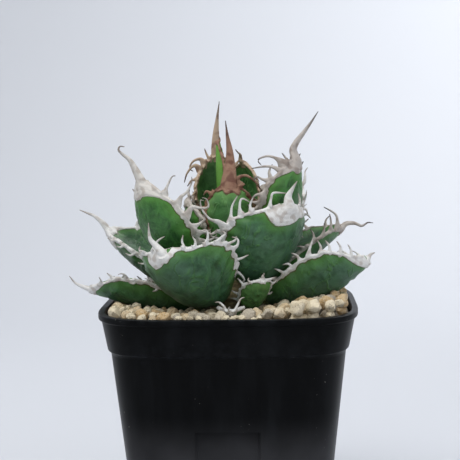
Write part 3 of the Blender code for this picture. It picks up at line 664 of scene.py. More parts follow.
def finished(mesh, finish):
    """Smooth-shades a mesh and gives it its one material."""
    mesh.shade_smooth()
    mesh.materials.clear()
    mesh.materials.append(finish)


def show(name, verts, faces, finish, values=None):
    """A smooth-shaded piece in the part's own frame, with the values that its finish reads."""
    mesh = bpy.data.meshes.new(name)
    mesh.from_pydata([tuple(v) for v in verts], [], faces)
    mesh.update()
    for key, data in (values or {}).items():
        carry(mesh, key, data)
    finished(mesh, finish)
    return placed(name, mesh)


def turned_out(mesh):
    """Makes every face look outwards."""
    work = bmesh.new()
    work.from_mesh(mesh)
    bmesh.ops.recalc_face_normals(work, faces=work.faces)
    work.to_mesh(mesh)
    work.free()


def tube_faces(rings, points, start=0):
    """Faces of a closed tube of rings that all have the same number of points."""
    faces = []
    for i in range(rings - 1):
        for j in range(points):
            k = (j + 1) % points
            faces.append((start + i * points + j, start + i * points + k,
                          start + (i + 1) * points + k, start + (i + 1) * points + j))
    faces.append(tuple(start + j for j in range(points))[::-1])
    faces.append(tuple(start + (rings - 1) * points + j for j in range(points)))
    return faces


def smooth_path(points, count):
    """Even points along one smooth curve through the given ones."""
    knots = np.asarray(points, float)
    padded = np.vstack([2 * knots[0] - knots[1], knots, 2 * knots[-1] - knots[-2]])
    fine = []
    for k in range(len(knots) - 1):
        a, b, c, d = padded[k:k + 4]
        for t in np.linspace(0.0, 1.0, 12, endpoint=False):
            fine.append(0.5 * (2 * b + (c - a) * t + (2 * a - 5 * b + 4 * c - d) * t * t
                               + (3 * b - a - 3 * c + d) * t ** 3))
    fine.append(knots[-1])
    fine = np.array(fine)
    run = np.concatenate([[0.0], np.cumsum(np.linalg.norm(np.diff(fine, axis=0), axis=1))])
    even = np.linspace(0.0, run[-1], count)
    return np.column_stack([np.interp(even, run, fine[:, k]) for k in range(3)])


def swept(path, wide_way, wide, deep, sides):
    """Rings of a tapered tube: wide is its half width along wide_way, and deep its half thickness."""
    way = np.gradient(path, axis=0)
    way /= np.linalg.norm(way, axis=1)[:, None] + 1e-12
    wide_way = np.broadcast_to(np.asarray(wide_way, float), path.shape)
    a = wide_way - way * np.sum(wide_way * way, axis=1)[:, None]
    a /= np.linalg.norm(a, axis=1)[:, None] + 1e-12
    n = np.cross(way, a)
    turn = 2.0 * math.pi * np.arange(sides) / sides
    wide, deep = (np.broadcast_to(np.asarray(v, float), (len(path),)) for v in (wide, deep))
    return (path[:, None, :] + a[:, None, :] * (wide[:, None] * np.cos(turn))[:, :, None]
            + n[:, None, :] * (deep[:, None] * np.sin(turn))[:, :, None])


class Gathered:
    """Closed tubes gathered into one mesh, each point with its share of the way to a tip."""

    def __init__(self):
        self.verts, self.faces, self.point = [], [], []
        self.count = 0

    def tube(self, rings, point=0.0):
        rows, points, _ = rings.shape
        self.faces += tube_faces(rows, points, self.count)
        self.verts.append(rings.reshape(-1, 3))
        self.point.append(np.repeat(np.broadcast_to(np.asarray(point, float), (rows,)), points))
        self.count += rows * points

    def slab(self, top, under):
        """A closed plate between two grids of points."""
        self.tube(np.concatenate([top, under[:, ::-1]], axis=1))


def fused(gathered, voxel):
    """The gathered tubes grown into one skin."""
    mesh = bpy.data.meshes.new("horn_raw")
    mesh.from_pydata([tuple(v) for v in np.vstack(gathered.verts)], [], gathered.faces)
    turned_out(mesh)
    raw = placed("horn_raw", mesh)
    step = raw.modifiers.new("one skin", "REMESH")
    step.mode = "VOXEL"
    step.voxel_size = voxel
    step.adaptivity = 0.0
    relax = raw.modifiers.new("relax", "SMOOTH")
    relax.factor = 0.5
    relax.iterations = 3
    shape = bpy.context.evaluated_depsgraph_get()
    made = bpy.data.meshes.new_from_object(raw.evaluated_get(shape))
    bpy.data.objects.remove(raw)
    bpy.data.meshes.remove(mesh)
    return made


# ---------------------------------------------------------------- leaf form
def stem_radius(drop):
    """Radius of the stem this far below the rim; negative is above it."""
    table = np.array(STEM_TABLE)
    return float(np.interp(drop / STEM_TOP, table[:, 0], table[:, 1])) * STEM_R


def wander(seed, at, features):
    """A smooth repeatable wave between about -1 and 1."""
    at = np.atleast_1d(np.asarray(at, float))
    return np.array([noise.noise(Vector((x * features, seed * 7.31, 0.5))) * 2.0 for x in at])


def climbing(rise):
    """Unit steps outwards and up, one for each rise in radians."""
    return np.column_stack([np.zeros_like(rise), -np.cos(rise), np.sin(rise)])


class LeafForm:
    """One leaf's run: its middle line and its two faces at any place along and across."""

    STEPS = 96

    def __init__(self, order, row):
        (self.name, heading, off, up, low, high, length, width, thick, channel, roll, spine, spine_up,
         self.cap, self.skin, self.horn) = row
        self.order = order
        self.length, self.width, self.thick, self.spine = (v * MM for v in (length, width, thick, spine))
        self.channel = channel
        steps = self.STEPS
        at = np.linspace(0.0, 1.0, steps + 1)
        rise = np.radians(low + (high - low) * at)
        middle = np.radians(low + (high - low) * (at[:-1] + 0.5 / steps))
        move = climbing(middle) * (self.length / steps)
        place = np.vstack([np.zeros((1, 3)), np.cumsum(move, axis=0)])
        spine_rise = np.radians(high + spine_up * ((np.arange(steps) + 0.5) / steps))
        move = climbing(spine_rise) * (self.spine / steps)
        place = np.vstack([place, place[-1] + np.cumsum(move, axis=0)])
        self.at = np.concatenate([at, 1.0 + (np.arange(steps) + 1) / steps])
        ahead = climbing(np.concatenate([rise, spine_rise]))
        across = np.tile((1.0, 0.0, 0.0), (len(ahead), 1))
        inner = np.cross(ahead, across)
        turn = math.radians(roll)
        across, inner = (across * math.cos(turn) + inner * math.sin(turn),
                         inner * math.cos(turn) - across * math.sin(turn))
        foot = up * MM - self.thick * THICKNESS[0][1] * math.cos(math.radians(low))
        out = stem_radius(-foot) + off * MM
        turn = math.radians(heading)
        spin = np.array(Matrix.Rotation(turn, 3, "Z"))
        start = np.array((CORE.x + out * math.sin(turn), CORE.y - out * math.cos(turn), RIM + up * MM))
        self.place = place @ spin.T + start
        self.ahead, self.across, self.inner = (v @ spin.T for v in (ahead, across, inner))

    def along(self, table, at):
        at = np.atleast_1d(np.asarray(at, float))
        return np.column_stack([np.interp(at, self.at, table[:, k]) for k in range(3)])

    def half(self, at):
        at = np.atleast_1d(np.asarray(at, float))
        table = np.array(OUTLINE)
        scallop = 1.0 + 0.022 * np.sin(at * 46.0 + self.order * 1.3) * np.clip((at - 0.15) * 6.0, 0.0, 1.0)
        return self.width * np.interp(at, table[:, 0], table[:, 1]) * scallop

    def deep(self, at):
        table = np.array(THICKNESS)
        return self.thick * np.interp(at, table[:, 0], table[:, 1])

    def bend(self, at):
        at = np.atleast_1d(np.asarray(at, float))
        opening = (0.45 + 0.55 * np.minimum(1.0, at / 0.5)) * (1.0 - 0.6 * np.maximum(0.0, at - 0.8) / 0.2)
        return np.radians(self.channel * opening)

    def face(self, at, u, outer, lift=0.0):
        """Points on the outer or inner face; at and u go together. lift raises them off the blade."""
        at, u = np.broadcast_arrays(np.atleast_1d(np.asarray(at, float)), np.atleast_1d(np.asarray(u, float)))
        shape, at, u = at.shape, at.ravel(), u.ravel()
        half, bend, deep = self.half(at), self.bend(at), self.deep(at)
        place, across, inner = (self.along(t, at) for t in (self.place, self.across, self.inner))
        radius = half / np.sin(bend)
        x = radius * np.sin(u * bend)
        z = radius * (1.0 - np.cos(u * bend))
        solid = np.maximum(MARGIN_T, deep * (1.0 - np.abs(u) ** 2.4) + 0.1 * deep)
        out = inner * np.cos(u * bend)[:, None] - across * np.sin(u * bend)[:, None]
        if outer:
            z = z - solid
            out = -out
        lift = np.broadcast_to(np.asarray(lift, float), shape).ravel()
        made = place + across * x[:, None] + inner * z[:, None] + out * lift[:, None]
        return made.reshape(shape + (3,))

    def edge(self, at, side):
        """The margin's middle, the way out of the blade, the way along it and the way to the inner face."""
        at = np.atleast_1d(np.asarray(at, float))
        bend = self.bend(at)
        across, inner, ahead = (self.along(t, at) for t in (self.across, self.inner, self.ahead))
        place = (self.face(at, side, True) + self.face(at, side, False)) / 2.0
        out = across * (side * np.cos(bend))[:, None] + inner * np.sin(bend)[:, None]
        to_inner = inner * np.cos(bend)[:, None] - across * (side * np.sin(bend))[:, None]
        return place, out, ahead, to_inner

    # -- where the horn lies
    def strip_width(self, at, side, settings):
        """Width of the horn on the outer face beside the edge, in metres."""
        at = np.atleast_1d(np.asarray(at, float))
        base = settings.edge_width * (0.55 + 0.45 * min(1.0, self.width / (14.0 * MM)))
        base *= STRIPS.get(self.name, 1.0)
        slow = 0.35 * wander(self.order + side * 0.37, at, 16.0)
        quick = 0.22 * wander(self.order + side, at, 41.0)
        return base * (1.0 + slow + quick) * np.clip((at - 0.06) * 5.0, 0.12, 1.0)

    def cap_start(self, u, outer):
        """Where the cap begins along the leaf."""
        u = np.atleast_1d(np.asarray(u, float))
        if outer and self.name in CAPS:
            line = np.array(CAPS[self.name])
            start = np.interp(u, line[:, 0], line[:, 1]) + 0.008 * wander(self.order, u, 7.0)
        else:
            start = self.cap + (0.0 if outer else 0.07)
            wave = 0.018 * wander(self.order + 3.1, u, 3.3) + 0.010 * wander(self.order + 5.7, u, 8.0)
            start = start - 0.03 * u * u + wave
        return np.clip(start, 0.0, CAP_LATEST)

    def inland(self, at, u, outer, settings):
        """Millimetres from the horn, negative under it."""
        left, right = (self.strip_width(at, side, settings) for side in (-1.0, 1.0))
        strip = np.where(u < 0.0, left, right)
        if not outer:
            strip = strip * 0.7
        from_edge = (1.0 - np.abs(u)) * self.half(at) - strip
        from_cap = (self.cap_start(u, outer) - at) * self.length
        return np.minimum(from_edge, from_cap) / MM


def make_blade(form, settings, finish):
    """The fleshy blade, with pressed marks on its outer face."""
    stations = np.concatenate([np.linspace(0.0, 0.9, 60), np.linspace(0.91, 1.0, 12)])
    outer_u = np.sin(np.linspace(-1.0, 1.0, 35) * math.pi / 2.0)
    inner_u = np.sin(np.linspace(1.0, -1.0, 19) * math.pi / 2.0)
    rows = len(stations)
    grid_at = np.repeat(stations[:, None], len(outer_u), axis=1)
    grid_u = np.repeat(outer_u[None, :], rows, axis=0)
    flat_at, flat_u = grid_at.ravel(), grid_u.ravel()
    inland = form.inland(flat_at, flat_u, True, settings)
    wave = np.array([noise.noise(Vector((u * 2.2 + form.order, a * 3.0, 0.3)))
                     for a, u in zip(flat_at, flat_u)])
    rows_of_teeth = np.sin((1.0 - np.abs(flat_u)) * form.half(flat_at) / MM * 1.25 + 5.0 * wave
                           + 1.2 * np.sin(flat_at * 23.0 + form.order))
    strength = np.clip(wave * 1.6 + 0.35, 0.0, 1.0) * np.clip(inland / 2.5, 0.0, 1.0)
    mark = rows_of_teeth * strength
    lift = settings.imprint * mark - 0.12 * MM * np.clip(1.0 - inland / 1.2, 0.0, 1.0)
    outer = form.face(grid_at, grid_u, True, lift.reshape(grid_at.shape))
    inner_at = np.repeat(stations[:, None], len(inner_u), axis=1)
    inner_grid = np.repeat(inner_u[None, :], rows, axis=0)
    inner = form.face(inner_at, inner_grid, False)
    verts = np.concatenate([outer, inner], axis=1)
    points = verts.shape[1]
    all_u = np.concatenate([grid_u, inner_grid], axis=1).ravel()
    all_at = np.concatenate([grid_at, inner_at], axis=1).ravel()
    inland_in = form.inland(inner_at.ravel(), inner_grid.ravel(), False, settings).reshape(inner_at.shape)
    values = {
        "inland": np.concatenate([inland.reshape(grid_at.shape), inland_in], axis=1).ravel(),
        "middle": 1.0 - all_u ** 2,
        "foot": np.clip(1.0 - all_at / 0.16, 0.0, 1.0),
        # mark keeps only the raised ridges, which the skin paints paler, partly as painted highlight.
        "mark": np.concatenate([np.clip(mark, 0.0, 1.0).reshape(grid_at.shape), np.zeros(inner_at.shape)],
                               axis=1).ravel(),
    }
    piece = show(form.name + "_blade", verts.reshape(-1, 3), tube_faces(rows, points), finish, values)
    turned_out(piece.data)
    return piece


def horn_edge(form, side, settings, horn):
    """The band of horn that wraps one edge of the blade."""
    at = np.linspace(0.05, 0.992, 88)
    half = form.half(at)
    width = form.strip_width(at, side, settings)
    start, end = np.clip((at - 0.03) * 6.0, 0.25, 1.0), np.clip((1.02 - at) * 14.0, 0.3, 1.0)
    relief = settings.horn_relief * start * end
    place, out, _, to_inner = form.edge(at, side)
    thick = MARGIN_T / 2.0 + relief
    u_far = side * np.clip(1.0 - width / half, 0.05, 1.0)
    u_mid = side * np.clip(1.0 - 0.5 * width / half, 0.1, 1.0)
    u_in = side * np.clip(1.0 - 0.7 * width / half, 0.1, 1.0)
    proud = relief * (1.2 + 0.8 * wander(form.order + side * 2.2, at, 30.0))
    rings = [
        form.face(at, u_far, True, -0.45 * MM),
        form.face(at, u_far, True, 0.3 * relief),
        form.face(at, u_mid, True, relief),
        place - to_inner * (thick * 0.9)[:, None] + out * (0.35 * proud)[:, None],
        place - to_inner * (thick * 0.35)[:, None] + out * (1.1 * proud)[:, None],
        place + to_inner * (thick * 0.35)[:, None] + out * (1.1 * proud)[:, None],
        place + to_inner * (thick * 0.9)[:, None] + out * (0.35 * proud)[:, None],
        form.face(at, u_in, False, 0.6 * relief),
        form.face(at, u_in, False, -0.3 * MM),
    ]
    horn.tube(np.stack(rings, axis=1))


def horn_cap(form, outer, settings, horn):
    """The cap of horn over the end of the blade."""
    u = np.sin(np.linspace(-1.0, 1.0, 25) * math.pi / 2.0) * 0.995
    share = np.linspace(0.0, 1.0, 22)
    start = form.cap_start(u, outer)
    at = start[None, :] + (1.0 - start)[None, :] * share[:, None]
    across = np.repeat(u[None, :], len(share), axis=0)
    ease = np.clip(share * 9.0, 0.25, 1.0)[:, None]
    folds = 0.30 * MM * np.array([[noise.noise(Vector((b * 3.0 + form.order, a * 16.0, 1.7))) for b in u]
                                  for a in share])
    folds = folds * np.clip(share * 3.0, 0.0, 1.0)[:, None]
    top = form.face(at, across, outer, settings.horn_relief * ease + folds)
    under = form.face(at, across, outer, -0.5 * MM)
    horn.slab(top, under)


def horn_spine(form, horn):
    """The terminal spine, from inside the cap to its point."""
    start = form.along(form.place, [0.93, 0.99])
    if form.name in SPINES:
        bends = np.array([(right, 0.0, up) for right, up in SPINES[form.name]]) * MM
        later = form.along(form.place, [1.0]) + bends
    else:
        later = form.along(form.place, np.linspace(1.15, 2.0, 5))
        sway = form.spine * 0.07
        for k in range(len(later)):
            turn = form.order * 1.9 + k * 1.7
            later[k] += sway * math.sin(turn) * form.along(form.across, [1.0])[0]
            later[k] += sway * math.cos(turn) * 0.6 * form.along(form.inner, [1.0])[0]
    drop = form.along(form.inner, [0.93, 0.99]) * (form.deep(1.0) * 0.5)
    line = smooth_path(np.vstack([start - drop, later]), 34)
    t = np.linspace(0.0, 1.0, 34)
    tip = 0.22 * MM
    foot = SPINE_FEET.get(form.name, 1.0)
    wide = (form.width * 0.17 * foot) * (1.0 - t) ** 1.35 + tip
    deep = (form.thick * 0.26 * foot ** 0.5) * (1.0 - t) ** 1.1 + tip
    horn.tube(swept(line, form.along(form.across, [1.0])[0], wide, deep, 12), t)


def horn_tooth(form, side, at, length, wide, curl, lean, twist, horn):
    """One hooked tooth on the edge, flared at its foot."""
    place, out, ahead, to_inner = (v[0] for v in form.edge(at, side))
    way = ahead * math.cos(twist) * lean + to_inner * math.sin(twist)
    steps = 12
    points = [place - out * 0.9 * MM]
    spot = place.copy()
    for k in range(steps):
        t = (k + 0.5) / steps
        turn = curl * t ** 1.4
        spot = spot + (out * math.cos(turn) + way * math.sin(turn)) * (length / steps)
        points.append(spot)
    line = smooth_path(points, 16)
    t = np.linspace(0.0, 1.0, 16)
    tip = 0.2 * MM
    horn.tube(swept(line, ahead, wide * (1.0 - t) ** 2.3 + tip, 0.5 * MM * (1.0 - t) ** 0.9 + tip, 8), t)


def shaped_tooth(form, side, at, wide, bends, horn):
    """One tooth that follows its own bends, a flat ribbon that narrows to a point."""
    place, out, ahead, _ = (v[0] for v in form.edge(at, side))
    points = [place - out * 1.1 * MM, place]
    points += [place + np.array((right, 0.0, up)) * MM for right, up in bends]
    count = 14 + 4 * len(bends)
    line = smooth_path(points, count)
    t = np.linspace(0.0, 1.0, count)
    foot = wide * MM * np.clip(1.0 - t / 0.42, 0.0, 1.0) ** 1.4
    ribbon = 0.62 * MM * (1.0 - t) ** 0.7
    horn.tube(swept(line, ahead, foot + ribbon + 0.18 * MM, 0.42 * MM * (1.0 - t) ** 0.6 + 0.2 * MM, 10), t)


def horn_teeth(form, horn):
    """Uneven hooked teeth down both edges, the shaped ones first."""
    placed = TEETH.get(form.name, ())
    for side, at, wide, bends in placed:
        shaped_tooth(form, float(side), at, wide, bends, horn)
    rule = random.Random(900 + form.order)
    count = max(3, round(form.length / (6.2 * MM)))
    if form.name in ("leaf_02", "leaf_20"):
        return
    size = form.width / (16.0 * MM)
    for side in (-1.0, 1.0):
        for k in range(count):
            at = 0.22 + 0.66 * (k + rule.uniform(-0.25, 0.25)) / max(1, count - 1)
            length = MM * rule.uniform(3.2, 7.0) * (0.5 + 0.5 * size)
            wide = MM * rule.uniform(1.3, 2.3) * (0.6 + 0.4 * size)
            curl = math.radians(rule.uniform(40.0, 150.0))
            lean = rule.choice((-1.0, 1.0))
            twist = rule.uniform(-0.9, 1.2)
            if all(side != s or abs(at - a) > 0.07 for s, a, *_ in placed):
                horn_tooth(form, side, min(0.93, at), length, wide, curl, lean, twist, horn)


def make_horn(form, settings, finish):
    """Edge, cap, teeth and spine, grown into one skin of horn."""
    horn = Gathered()
    for side in (-1.0, 1.0):
        horn_edge(form, side, settings, horn)
    horn_cap(form, True, settings, horn)
    horn_cap(form, False, settings, horn)
    horn_spine(form, horn)
    horn_teeth(form, horn)
    mesh = fused(horn, settings.voxel * (1.0))
    source, point = np.vstack(horn.verts), np.concatenate(horn.point)
    tree = KDTree(len(source))
    for k, co in enumerate(source):
        tree.insert(co, k)
    tree.balance()
    co = points_of(mesh)
    carry(mesh, "point", [point[tree.find(spot)[1]] for spot in co])
    # Darker patches for the horn's finish: partly real stain, partly painted shade for its folds.
    carry(mesh, "stain_and_fold_shade", [0.5 + noise.noise(Vector(spot) * FOLDS_PER_M) for spot in co])
    finished(mesh, finish)
    mesh.name = form.name + "_horn"
    return placed(mesh.name, mesh)


# ---------------------------------------------------------------- pot
PLAN_POINTS = 176
CROWDING = 0.05
SQUARE_LIP = 4.4
SQUARE_BODY = 4.9
LIP_OVER = 1.1 * MM
LIP_WIDE = 2.6 * MM
COLLAR_TAPER = 0.21
POT_TAPER = 0.108
FLOOR_T = 1.8 * MM
FOOT_ROUND = 1.4 * MM
PANEL_SLANT = 1.2 * MM
DRAIN_AT = 24.0 * MM


def plan_ring(half, squareness, height):
    """A rounded square seen from above."""
    turn = 2.0 * math.pi * (np.arange(PLAN_POINTS) + 0.5) / PLAN_POINTS
    # points crowd into the corners, where the outline turns
    turn = turn + CROWDING * np.sin(4.0 * turn - math.pi)
    c, s = np.cos(turn), np.sin(turn)
    x = half * np.copysign(np.abs(c) ** (2.0 / squareness), c)
    y = half * np.copysign(np.abs(s) ** (2.0 / squareness), s)
    return np.column_stack([x, y, np.full(PLAN_POINTS, height)])


def rounded(profile, radius, steps=3):
    """Rounds each corner of a profile of (half width, squareness, height) rows."""
    made = [profile[0]]
    for before, here, after in zip(profile, profile[1:], profile[2:]):
        a, b, c = (np.array((row[0], row[2])) for row in (before, here, after))
        one, two = a - b, c - b
        reach = min(radius, 0.45 * np.linalg.norm(one), 0.45 * np.linalg.norm(two))
        one, two = one / np.linalg.norm(one) * reach, two / np.linalg.norm(two) * reach
        for k in range(steps + 1):
            t = k / steps
            spot = b + one * (1.0 - t) ** 2 + two * t ** 2
            made.append((spot[0], here[1], spot[1]))
    made.append(profile[-1])
    return made


def closed_loft(name, rings):
    """A closed solid through rings."""
    mesh = bpy.data.meshes.new(name)
    verts = np.vstack(rings)
    mesh.from_pydata([tuple(v) for v in verts], [], tube_faces(len(rings), len(rings[0])))
    turned_out(mesh)
    return placed(name, mesh)


def cut(target, cutter):
    """Cuts one solid out of another, for good."""
    step = target.modifiers.new("cut", "BOOLEAN")
    step.operation = "DIFFERENCE"
    step.solver = "EXACT"
    step.object = cutter
    shape = bpy.context.evaluated_depsgraph_get()
    mesh = bpy.data.meshes.new_from_object(target.evaluated_get(shape))
    target.modifiers.clear()
    target.data = mesh
    bpy.data.objects.remove(cutter)


class PotForm:
    """Widths of the pot at any depth below its rim."""

    def __init__(self, settings):
        self.s = settings

    def collar(self, drop):
        return POT_HALF - LIP_OVER - COLLAR_TAPER * (drop - self.s.lip_height)

    def body(self, drop):
        return self.collar(self.s.collar_height) - self.s.step - POT_TAPER * (drop - self.s.collar_height)

    def inside(self, drop):
        if drop <= self.s.collar_height:
            return self.collar(drop) - self.s.wall - 0.6 * self.s.step
        return self.body(drop) - self.s.wall

    def outer_profile(self):
        lip, collar, step = self.s.lip_height, self.s.collar_height, self.s.step
        foot = self.body(RIM)
        return [
            (foot - FOOT_ROUND, SQUARE_BODY, 0.0),
            (foot, SQUARE_BODY, FOOT_ROUND * 0.7),
            (self.body(collar + 1.2 * step), SQUARE_BODY, RIM - collar - 1.2 * step),
            (self.body(collar) + 0.3 * step, SQUARE_BODY, RIM - collar - 0.2 * step),
            (self.collar(collar), SQUARE_BODY, RIM - collar + 0.15 * step),
            (self.collar(lip + 0.4 * MM), SQUARE_LIP, RIM - lip - 0.4 * MM),
            (self.collar(lip), SQUARE_LIP, RIM - lip),
            (POT_HALF, SQUARE_LIP, RIM - lip + 0.4 * MM),
            (POT_HALF, SQUARE_LIP, RIM),
            (POT_HALF - 0.5 * LIP_WIDE, SQUARE_LIP, RIM),
        ]

    def inner_profile(self):
        lip, collar, step = self.s.lip_height, self.s.collar_height, self.s.step
        low = RIM - FLOOR_T
        return [
            (POT_HALF - 0.5 * LIP_WIDE, SQUARE_LIP, RIM),
            (POT_HALF - LIP_WIDE, SQUARE_LIP, RIM),
            (self.inside(lip + 1.0 * MM), SQUARE_LIP, RIM - lip - 1.0 * MM),
            (self.inside(collar), SQUARE_BODY, RIM - collar),
            (self.inside(collar + 1.6 * step), SQUARE_BODY, RIM - collar - 1.6 * step),
            (self.inside(low), SQUARE_BODY, FLOOR_T + 0.4 * FOOT_ROUND),
            (self.inside(low) - FOOT_ROUND, SQUARE_BODY, FLOOR_T),
        ]


def panel_cutter(form, heading, grow):
    """A wedge-sided block that sinks a panel into one side of the pot, down to the foot."""
    s = form.s
    rings = []
    for height in (-2.0 * MM, RIM - s.panel_drop + grow):
        face = form.body(RIM - height)
        near, far = face - s.panel_depth - grow, face + 4.0 * MM
        inside = s.panel_width / 2.0 - PANEL_SLANT + grow
        outside = s.panel_width / 2.0 + PANEL_SLANT * 4.0 * MM / s.panel_depth + grow
        lift = 0.0 if height < 0.0 else -PANEL_SLANT * 0.4
        ring = np.array([(-inside, -near, height + lift), (inside, -near, height + lift),
                         (outside, -far, height), (-outside, -far, height)])
        rings.append(ring @ np.array(Matrix.Rotation(math.radians(heading), 3, "Z")).T)
    return closed_loft("panel_cutter", rings)


def make_pot(settings):
    """The pot's shell, with its lip, collar, sunk panels and drain holes."""
    form = PotForm(settings)
    outside = rounded(form.outer_profile(), 0.55 * MM)
    inside = rounded(form.inner_profile(), 0.5 * MM)
    pot = closed_loft("pot_shell", [plan_ring(*row) for row in outside])
    hollow_rings = [plan_ring(*row) for row in inside]
    lid = hollow_rings[0] + np.array((0.0, 0.0, 5.0 * MM))
    hollow = closed_loft("pot_hollow", [lid] + hollow_rings)
    for side in range(4):
        cut(hollow, panel_cutter(form, 90.0 * side, settings.wall))
        cut(pot, panel_cutter(form, 90.0 * side, 0.0))
    cut(pot, hollow)
    for k in range(4):
        turn = math.radians(45.0 + 90.0 * k)
        ring = np.array([(DRAIN_AT * math.cos(turn) + settings.drain_radius * math.cos(a),
                          DRAIN_AT * math.sin(turn) + settings.drain_radius * math.sin(a), 0.0)
                         for a in np.linspace(0.0, 2.0 * math.pi, 40, endpoint=False)])
        low = ring + np.array((0.0, 0.0, -2.0 * MM))
        high = ring + np.array((0.0, 0.0, FLOOR_T + 2.0 * MM))
        cut(pot, closed_loft("drain_cutter", [low, high]))
    work = bmesh.new()
    work.from_mesh(pot.data)
    bmesh.ops.dissolve_degenerate(work, edges=work.edges, dist=1e-6)
    work.to_mesh(pot.data)
    work.free()
    mesh = pot.data
    mesh.name = "pot_shell"
    height = points_of(mesh)[:, 2]
    # The rim's top and the collar's step, painted lighter: partly rubbed wear, partly painted highlight.
    top = np.clip(1.0 - (RIM - height) / (0.9 * MM), 0.0, 1.0)
    ledge = np.clip(1.0 - np.abs(height - (RIM - settings.collar_height)) / (1.1 * MM), 0.0, 1.0) * 0.6
    carry(mesh, "wear_and_highlight", np.maximum(top, ledge))
    finished(mesh, polypropylene_finish(settings))
    mesh.set_sharp_from_angle(angle=math.radians(32.0))
    return pot


# ---------------------------------------------------------------- pumice
COARSE_TRIES = 0.26                  # share of the places that are tried for a coarse grain
COARSE_GAP, FINE_GAP = 0.43, 0.38    # least distance between grains, as a share of their two widths
COARSE_LIFT, FINE_LIFT = 0.16, 0.24  # how far a grain's middle stands over the mound, as a share of its width
MOUND_LOW = 1.6 * MM                 # height of the mound over the bed on the left
MOUND_RISE = 3.6 * MM                # how much higher it is on the right
MOUND_START = 4.0 * MM
MOUND_RUN = 28.0 * MM
MOUND_FILLED = 2.4 * MM              # from this depth on, another grain lies under each coarse one


def stone_shapes(count, detail, seed):
    """Unit stones: balls broken by flat faces, then roughened."""
    rule = random.Random(seed)
    made = []
    for k in range(count):
        work = bmesh.new()
        bmesh.ops.create_icosphere(work, subdivisions=detail, radius=0.5)
        co = np.array([v.co for v in work.verts])
        faces = [tuple(v.index for v in f.verts) for f in work.faces]
        work.free()
        stretch = np.array([rule.uniform(0.85, 1.2), rule.uniform(0.7, 1.0), rule.uniform(0.6, 0.9)])
        co = co * stretch
        for _ in range(11):
            n = np.array([rule.gauss(0.0, 1.0) for _ in range(3)])
            n /= np.linalg.norm(n)
            reach = rule.uniform(0.27, 0.40)
            over = np.maximum(0.0, co @ n - reach)
            co -= np.outer(over * 0.94, n)
        for j in range(len(co)):
            spot = Vector(co[j]) * 3.0 + Vector((k * 9.1, 0.0, 0.0))
            size = 1.0 + 0.16 * noise.noise(spot) + 0.07 * noise.noise(spot * 3.1)
            co[j] *= size
        made.append((co, faces))
    return made


def make_grains(name, spots, rule, shapes, finish):
    """Scatters grains on the bed and joins them into one piece."""
    verts, faces, tints, count = [], [], [], 0
    for spot, width, lift in spots:
        co, stone_faces = rule.choice(shapes)
        turn = Matrix.Rotation(rule.uniform(0.0, 6.28), 3, "Z")
        for axis in ("X", "Y"):
            turn = turn @ Matrix.Rotation(rule.uniform(-0.6, 0.6), 3, axis)
        verts.append(co @ np.array(turn).T * width + np.array(spot) + np.array((0.0, 0.0, lift)))
        faces += [tuple(count + k for k in f) for f in stone_faces]
        tint = rule.random()
        tints.append(np.full(len(co), tint))
        count += len(co)
    piece = show(name, np.vstack(verts), faces, finish, {"tint": np.concatenate(tints)})
    piece.data.set_sharp_from_angle(angle=math.radians(24.0))
    return piece


def bed_tree(nodes):
    """One search tree over several CAD nodes."""
    verts, faces, count = [], [], 0
    for node in nodes:
        mesh = frame["nodes"][node].data
        verts += [v.co.copy() for v in mesh.vertices]
        faces += [tuple(count + v for v in p.vertices) for p in mesh.polygons]
        count += len(mesh.vertices)
    return BVHTree.FromPolygons(verts, faces)


def make_pumice(settings):
    """The loose grains over the bed: a coarse layer, then fine grains in the gaps."""
    rule = random.Random(41)
    bed = bed_tree(["pumice_layer"])
    leaves = bed_tree([row[0] for row in LEAVES] + ["stem"])
    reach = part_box("pumice_layer")[1].x - 0.4 * MM
    taken = []
    spots = {"coarse": [], "fine": []}
    for trial in range(settings.count):
        coarse = trial < settings.count * COARSE_TRIES
        x, y = rule.uniform(-reach, reach), rule.uniform(-reach, reach)
        if coarse:
            width = settings.grain * rule.uniform(0.72, 1.12)
        else:
            width = settings.fine_grain * rule.uniform(0.7, 1.2)
        width *= 1.0 + 0.14 * x / reach
        if max(abs(x), abs(y)) > reach - 0.3 * width:
            continue
        if (abs(x) / reach) ** SQUARE_LIP + (abs(y) / reach) ** SQUARE_LIP > 0.93:
            continue
        gap = COARSE_GAP if coarse else FINE_GAP
        if any((x - a) ** 2 + (y - b) ** 2 < (gap * (width + w)) ** 2 for a, b, w in taken):
            continue
        hit = bed.ray_cast(Vector((x, y, RIM + 0.05)), Vector((0.0, 0.0, -1.0)))[0]
        if hit is None:
            continue
        lift = (COARSE_LIFT if coarse else FINE_LIFT) * width
        mound = MOUND_LOW + MOUND_RISE * max(0.0, min(1.0, (x + 0.3 * y + MOUND_START) / MOUND_RUN))
        spot = hit + Vector((0.0, 0.0, mound))
        near = leaves.find_nearest(spot + Vector((0.0, 0.0, lift)), 0.42 * width)
        if near[0] is not None:
            continue
        taken.append((x, y, width))
        spots["coarse" if coarse else "fine"].append((spot, width, lift))
        if coarse and mound > MOUND_FILLED:
            spots["fine"].append((spot - Vector((0.0, 0.0, 0.6 * width)), 0.8 * width, lift))
    shapes = stone_shapes(12, 3, 7)
    small = stone_shapes(8, 2, 8)
    finish = pumice_finish(settings, "pumice washed", 0.0)
    half = len(spots["coarse"]) // 2
    return [
        make_grains("pumice_grains_a", spots["coarse"][:half], rule, shapes, finish),
        make_grains("pumice_grains_b", spots["coarse"][half:], rule, shapes, finish),
        make_grains("pumice_grains_fine", spots["fine"], rule, small, finish),
    ]


